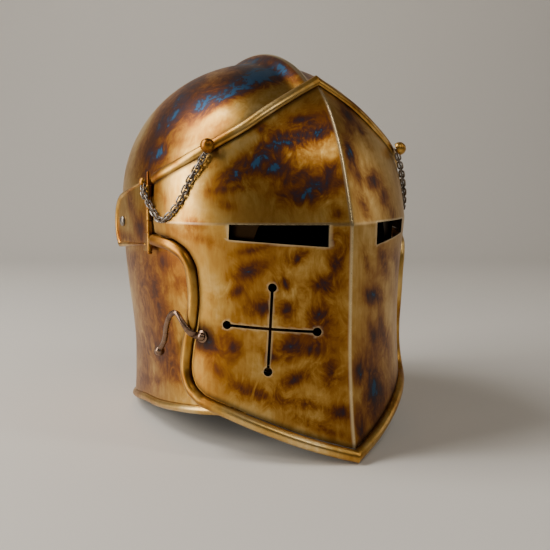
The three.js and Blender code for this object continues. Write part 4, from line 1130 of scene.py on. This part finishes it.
def cross_distance(points):
    """Distance to the edges of the pierced cross."""
    middle, _, along, upwards = cross_frame()
    a, b = (points - middle) @ along, (points - middle) @ upwards
    nearest = np.full(len(points), np.inf)
    for turn, length in rows_of(CROSS_ARMS):
        cosine, sine = math.cos(math.radians(turn)), math.sin(math.radians(turn))
        forward, aside = a * cosine + b * sine, b * cosine - a * sine
        past_ends = np.maximum(np.maximum(-forward, forward - length), 0)
        slot = np.hypot(past_ends, np.maximum(np.abs(aside) - CROSS_SLOT / 2, 0))
        hole = np.abs(np.hypot(forward - length, aside) - CROSS_HOLE)
        nearest = np.minimum(nearest, np.minimum(slot, hole))
    return nearest


def colour_visor(visor):
    """Stains, painted shade by the borders, round the stud and inside, and painted highlights on the edges of
    the visor plate.
    """
    points, outs = piece_points(visor)
    x, y, z = points.T
    near = smooth_step(-x, -0.6, 0.6)
    # The stain rows below nought are painted highlights
    near_heat_and_highlights = 0.86 * stain_field(points, VISOR_STAINS_AND_HIGHLIGHTS) + 0.1 * smooth_step(-x, 75, 30)
    seen = smooth_step(-outs[:, 1], 0.1, 0.4) * (y < -20) * smooth_step(x, 118, 70)
    far_heat = seen * 0.84 * stain_field(points, FAR_STAINS) + (1 - seen) * scattered_field(points, 5, 60, 13)
    store(visor, "tempering_and_light", near * near_heat_and_highlights + (1 - near) * far_heat)
    to_brow, to_roll = edge_distances(points)
    # Painted shade in the creases by the brow moulding and the rolled edge, painted shade with dark patina
    # round the hook's stud, and painted shade inside the shell
    borders = 0.95 * smooth_step(to_brow, 12.2, MOULDING_WIDTH - 0.2) + 0.8 * smooth_step(to_roll, 5, 0.5)
    stud = 0.95 * smooth_step(np.linalg.norm(points - hook_frame()[0], axis=1), 17, 4)
    store_painted_shade(visor, borders, stud, inside_shade(points, outs))
    # Painted highlights along the keel, the brow crease and the edges of the slits and the cross; the same
    # values make these polished edges a little less rough
    keel = 0.85 * smooth_step(np.abs(x), 2, 0.5)
    crease = 0.3 * smooth_step(np.abs(z - SIGHT_HEIGHT), 1.2, 0.2)
    slits = 0.75 * smooth_step(slit_distance(points), 1.1, 0.4)
    outside = (x < 0) & (outs @ cross_frame()[1] > 0.2)
    cross = 0.55 * smooth_step(cross_distance(points), 0.9, 0.2) * outside
    store(visor, "polish_and_highlight", np.clip(keel + crease + slits + cross, 0, 1))


def visor_border(heights):
    """How far forward the visor's rear border lies at each height."""
    borders = []
    for place in (cheek_place, brow_place):
        border = visor_point(*place(np.linspace(0, 1, 80)), 0)
        order = np.argsort(border[:, 2])
        borders.append(np.interp(heights, border[order, 2], border[order, 1]))
    return np.where(heights < SIGHT_HEIGHT, *borders)


def colour_skull(skull):
    """Stains, painted highlights and painted shade of the skull."""
    points, outs = piece_points(skull)
    x, y, z = points.T
    towards_camera = unit(CAMERA_PLACE - [0, 0, EAR_HEIGHT + 10])
    seen = smooth_step(outs @ towards_camera, -0.05, 0.25)
    stains = seen * stain_field(points, SKULL_STAINS_AND_HIGHLIGHTS) + (1 - seen) * scattered_field(points, 9, 70, 17)
    # Stain rows below nought are painted highlights; the skull is darkened from 175 mm down, fully below 130
    # mm, as painted shade on the neck
    store(skull, "tempering_and_light", stains + 0.09 * smooth_step(z, 175, 130))
    # Painted shade beside the brow and the visor's rolled edge, in the crease at the foot of the back, on the
    # part under the visor and inside the shell
    to_brow, to_roll = edge_distances(points)
    brow_shade, roll_shade = 0.8 * smooth_step(to_brow, 9, 3), 0.55 * smooth_step(to_roll, 15, 7)
    foot = 0.75 * smooth_step(z, 10, 7.3) * (y > 0)
    shade_under_visor = smooth_step(visor_border(z) - y, 3, 16)
    store_painted_shade(skull, roll_shade, brow_shade, foot, shade_under_visor, inside_shade(points, outs))
    # Painted highlight along the ridge of the comb, where the same value also makes the steel a little less
    # rough
    store(skull, "polish_and_highlight", 0.8 * smooth_step(np.abs(x), 3.2, 0.6) * (z > 255) * (y < 60))


def colour_others():
    """Stains of the smaller pieces, which have no painted shade and no painted highlights."""
    for name, piece in pieces.items():
        if name in ("visor_shell", "skull_shell"):
            continue
        points, _ = piece_points(piece)
        if name.startswith("arm"):
            heat = stain_field(points, ARM_STAINS)
        else:
            heat = 0.25 * scattered_field(points, 3, 14, 11)
        for attribute, values in (("tempering_and_light", heat), ("polish_and_highlight", 0 * heat), ("painted_shade", 0 * heat)):
            store(piece, attribute, values)


colour_visor(pieces["visor_shell"])
colour_skull(pieces["skull_shell"])
colour_others()


class Shader:
    """Small helper that adds and joins the nodes of one material."""

    def __init__(self, name):
        self.material = bpy.data.materials.new(name)
        self.material.use_nodes = True
        self.tree = self.material.node_tree
        self.surface = self.tree.nodes["Principled BSDF"]
        self.coordinates = self.add("ShaderNodeTexCoord").outputs["Object"]

    def add(self, kind, **settings):
        """A new node with its settings."""
        node = self.tree.nodes.new(kind)
        for key, value in settings.items():
            setattr(node, key, value)
        return node

    def put(self, value, socket):
        """Joins a socket to an input, or sets the input's own value."""
        if isinstance(value, bpy.types.NodeSocket):
            self.tree.links.new(value, socket)
        else:
            socket.default_value = value

    def math(self, operation, first, second=0.0, clamp=False):
        """Result of an operation on two values."""
        node = self.add("ShaderNodeMath", operation=operation, use_clamp=clamp)
        self.put(first, node.inputs[0])
        self.put(second, node.inputs[1])
        return node.outputs[0]

    def offset(self, value, middle, share, clamp=False):
        """A value's distance from a middle, times a share."""
        return self.math("MULTIPLY", self.math("SUBTRACT", value, middle), share, clamp)

    def total(self, first, *others):
        """Sum of several values."""
        for value in others:
            first = self.math("ADD", first, value)
        return first

    def attribute(self, name):
        """A value kept for each point of a piece."""
        return self.add("ShaderNodeAttribute", attribute_name=name).outputs["Fac"]

    def noise(self, scale, detail, roughness, distortion=0.0, stretch=(1, 1, 1), turn=(0, 0, 0)):
        """Noise in the piece's own space."""
        mapping = self.add("ShaderNodeMapping")
        self.put(self.coordinates, mapping.inputs["Vector"])
        mapping.inputs["Scale"].default_value = stretch
        mapping.inputs["Rotation"].default_value = turn
        node = self.add("ShaderNodeTexNoise")
        self.put(mapping.outputs[0], node.inputs["Vector"])
        settings = {"Scale": scale, "Detail": detail, "Roughness": roughness, "Distortion": distortion}
        for key, value in settings.items():
            node.inputs[key].default_value = value
        return node.outputs["Fac"]

    def ramp(self, value, stops):
        """A colour from a ramp of places and colours."""
        node = self.add("ShaderNodeValToRGB")
        self.put(value, node.inputs["Fac"])
        elements = node.color_ramp.elements
        while len(elements) < len(stops):
            elements.new(1.0)
        for element, (place, colour) in zip(elements, stops):
            element.position = place
            element.color = (*colour, 1)
        return node.outputs["Color"]

    def mix(self, share, first, second):
        """A colour between two, by the colour sockets of a mix node."""
        node = self.add("ShaderNodeMix", data_type="RGBA")
        for value, socket in ((share, 0), (first, 6), (second, 7)):
            self.put(value, node.inputs[socket])
        return node.outputs[2]

    def bump(self, height, strength, distance, normal=None):
        """Directions of a surface raised by a height, on top of other directions."""
        node = self.add("ShaderNodeBump")
        node.inputs["Strength"].default_value = strength
        node.inputs["Distance"].default_value = distance
        self.put(height, node.inputs["Height"])
        if normal:
            self.put(normal, node.inputs["Normal"])
        return node.outputs["Normal"]


# Colours from straw over amber, russet and purple to blue, each with its place
HEAT_COLOURS = (
    (0.0, (0.80, 0.60, 0.29)), (0.14, (0.66, 0.43, 0.14)), (0.28, (0.50, 0.275, 0.058)),
    (0.42, (0.34, 0.145, 0.022)), (0.56, (0.20, 0.066, 0.014)), (0.72, (0.095, 0.034, 0.018)),
    (0.88, (0.052, 0.030, 0.036)), (0.96, (0.036, 0.040, 0.060)), (1.0, (0.030, 0.080, 0.155)),
)
PIT_COLOUR = (0.06, 0.035, 0.02, 1)
# Colour of the painted highlights on the polished edges
POLISH_AND_HIGHLIGHT_COLOUR = (0.92, 0.76, 0.46, 1)
# Dark colour of the painted shade in creases, under the visor and inside the shells
PAINTED_SHADE_COLOUR = (0.028, 0.016, 0.01, 1)


def heat_steel(name, pale, roughness):
    """Steel coloured by heat: straw with smoky brown, purple and blue stains, with the kept painted
    highlights and painted shade laid over.
    """
    shader = Shader(name)
    # The tempering values also hold painted highlights and painted shade on the neck
    heat, polish_and_highlight, painted_shade = [shader.attribute(kept) for kept in ("tempering_and_light", "polish_and_highlight", "painted_shade")]
    wide = shader.noise(16, 4, 0.55, 0.6)
    smoky = shader.noise(62, 7, 0.66, 2.4, (1, 1, 0.7), (0.3, 0.5, 0.2))
    fine = shader.noise(260, 6, 0.7, 0.8)
    streaks = shader.noise(60, 6, 0.65, 0.9, (2.2, 2.2, 0.28))
    amount = shader.total(shader.math("MULTIPLY", heat, 0.95), 0.10)
    broken = shader.math("MULTIPLY", shader.offset(smoky, 0.5, amount), 2.0)
    grain = shader.offset(fine, 0.5, shader.math("MULTIPLY", amount, 0.45))
    ground = shader.total(shader.offset(wide, 0.30, 0.95), shader.offset(streaks, 0.5, 0.26))
    stain = shader.math("MULTIPLY", heat, 0.86)
    total = shader.total(stain, shader.math("MAXIMUM", ground, 0.0), broken, grain)
    total = shader.math("SUBTRACT", total, pale, True)
    pits = shader.offset(shader.noise(420, 3, 0.6), 0.70, 6.0, True)
    pits = shader.math("MULTIPLY", pits, shader.total(amount, 0.1))
    colour = shader.ramp(total, HEAT_COLOURS)
    # Dark pits, then painted highlights on the bright edges, then painted shade in creases, under the visor
    # and inside
    marks = ((pits, 0.7, PIT_COLOUR), (polish_and_highlight, 0.8, POLISH_AND_HIGHLIGHT_COLOUR), (painted_shade, 0.95, PAINTED_SHADE_COLOUR))
    for value, share, mark_colour in marks:
        colour = shader.mix(shader.math("MULTIPLY", value, share), colour, mark_colour)
    shader.put(colour, shader.surface.inputs["Base Color"])
    shader.put(1.0, shader.surface.inputs["Metallic"])
    rough = shader.total(shader.math("MULTIPLY", total, 0.16), roughness, shader.offset(fine, 0.5, 0.12))
    rough = shader.math("SUBTRACT", rough, shader.math("MULTIPLY", polish_and_highlight, 0.08), True)
    shader.put(rough, shader.surface.inputs["Roughness"])
    normal = shader.bump(shader.noise(38, 3, 0.5), 0.35, 0.0008)
    normal = shader.bump(smoky, 0.12, 0.0003, normal)
    normal = shader.bump(shader.noise(900, 3, 0.6, 0.0, (1, 1, 0.1)), 0.08, 0.0001, normal)
    shader.put(normal, shader.surface.inputs["Normal"])
    return shader.material


def plain_steel(name, colour, dark, roughness):
    """Steel of one tone, worn and dulled in patches."""
    shader = Shader(name)
    fine = shader.noise(600, 4, 0.6)
    share = shader.offset(shader.noise(120, 6, 0.65, 0.8), 0.42, 3.0, True)
    shader.put(shader.mix(share, (*colour, 1), (*dark, 1)), shader.surface.inputs["Base Color"])
    shader.put(1.0, shader.surface.inputs["Metallic"])
    rough = shader.total(shader.math("MULTIPLY", share, 0.18), roughness, shader.math("MULTIPLY", fine, 0.1))
    shader.put(rough, shader.surface.inputs["Roughness"])
    shader.put(shader.bump(fine, 0.15, 0.0002), shader.surface.inputs["Normal"])
    return shader.material


materials = {
    "coloured_steel": heat_steel("coloured_steel", -0.05, 0.30),
    "bright_steel": heat_steel("bright_steel", -0.02, 0.31),
    "grey_steel": plain_steel("grey_steel", (0.30, 0.26, 0.22), (0.05, 0.04, 0.035), 0.26),
    "blackened_steel": plain_steel("blackened_steel", (0.27, 0.17, 0.11), (0.06, 0.035, 0.03), 0.2),
}
for name, piece in pieces.items():
    piece.data.materials.clear()
    piece.data.materials.append(materials[piece_steels[name]])

# Soft lamps: name, place and size in metres, power in watts and colour
LAMPS = (
    ("left", (-1.75, 0.3, 0.7), (0.9, 1.5), 40, (1, 0.96, 0.9)),
    ("upper", (-1.0, 0.5, 1.6), (0.8, 0.8), 22, (1, 0.97, 0.93)),
    ("front", (-0.35, -1.6, 1.75), (0.5, 0.4), 5, (1, 0.95, 0.88)),
    ("keel", (0.93, -1.1, 1.56), (0.22, 1.5), 6, (1, 0.95, 0.88)),
    ("right", (1.9, -0.3, 0.6), (0.3, 0.9), 1.6, (1, 0.93, 0.85)),
)
LAMP_AIM = (0, 0, 0.17)


def soft_light(name, place, size, power, colour):
    """A large soft lamp that looks at the helmet."""
    data = bpy.data.lights.new(name, "AREA")
    data.shape = "RECTANGLE"
    data.size, data.size_y = size
    data.energy = power
    data.color = colour
    lamp = bpy.data.objects.new(name, data)
    bpy.context.collection.objects.link(lamp)
    lamp.location = place
    lamp.rotation_euler = (Vector(LAMP_AIM) - Vector(place)).to_track_quat("-Z", "Y").to_euler()


def make_stage():
    """Plain pale floor that curves up behind, with soft studio lamps."""
    front, behind, bend, wall, half_width, drop = 3.0, 1.2, 0.8, 3.0, 4, 0.0002
    turns = np.linspace(0, math.pi / 2, 24)
    profile = [(behind + bend * math.sin(t), bend * (1 - math.cos(t))) for t in turns]
    profile = [(-front, 0), *profile, (behind + bend, wall)]
    turn = Matrix.Rotation(-CAMERA_TURN, 4, "Z")
    points = [turn @ Vector((x, y, z - drop)) for y, z in profile for x in (-half_width, half_width)]
    faces = [(2 * k, 2 * k + 1, 2 * k + 3, 2 * k + 2) for k in range(len(profile) - 1)]
    mesh = bpy.data.meshes.new("floor")
    mesh.from_pydata([tuple(point) for point in points], [], faces)
    floor = bpy.data.objects.new("floor", mesh)
    bpy.context.collection.objects.link(floor)
    for face in mesh.polygons:
        face.use_smooth = True
    shader = Shader("floor")
    shader.put((0.66, 0.63, 0.58, 1), shader.surface.inputs["Base Color"])
    shader.put(0.7, shader.surface.inputs["Roughness"])
    mesh.materials.append(shader.material)
    floor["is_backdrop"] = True
    world = bpy.data.worlds.new("studio")
    bpy.context.scene.world = world
    world.use_nodes = True
    background = world.node_tree.nodes["Background"]
    background.inputs["Color"].default_value = (0.5, 0.44, 0.37, 1)
    background.inputs["Strength"].default_value = 0.13
    for lamp in LAMPS:
        soft_light(*lamp)


def make_camera():
    """Camera at the photograph's place."""
    data = bpy.data.cameras.new("camera")
    data.sensor_width = 36
    data.lens = data.sensor_width * FOCAL_PIXELS / PHOTO_SIZE
    data.clip_start = 0.01
    camera = bpy.data.objects.new("camera", data)
    bpy.context.collection.objects.link(camera)
    camera.location = to_frame(CAMERA_PLACE)
    camera.rotation_euler = (math.pi / 2 - CAMERA_PITCH, 0, -CAMERA_TURN)
    bpy.context.scene.camera = camera


make_stage()
make_camera()
boxes = {"cad": cad_bounds, "visual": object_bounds()}
{name: [[float(v) for v in corner] for corner in box] for name, box in boxes.items()}
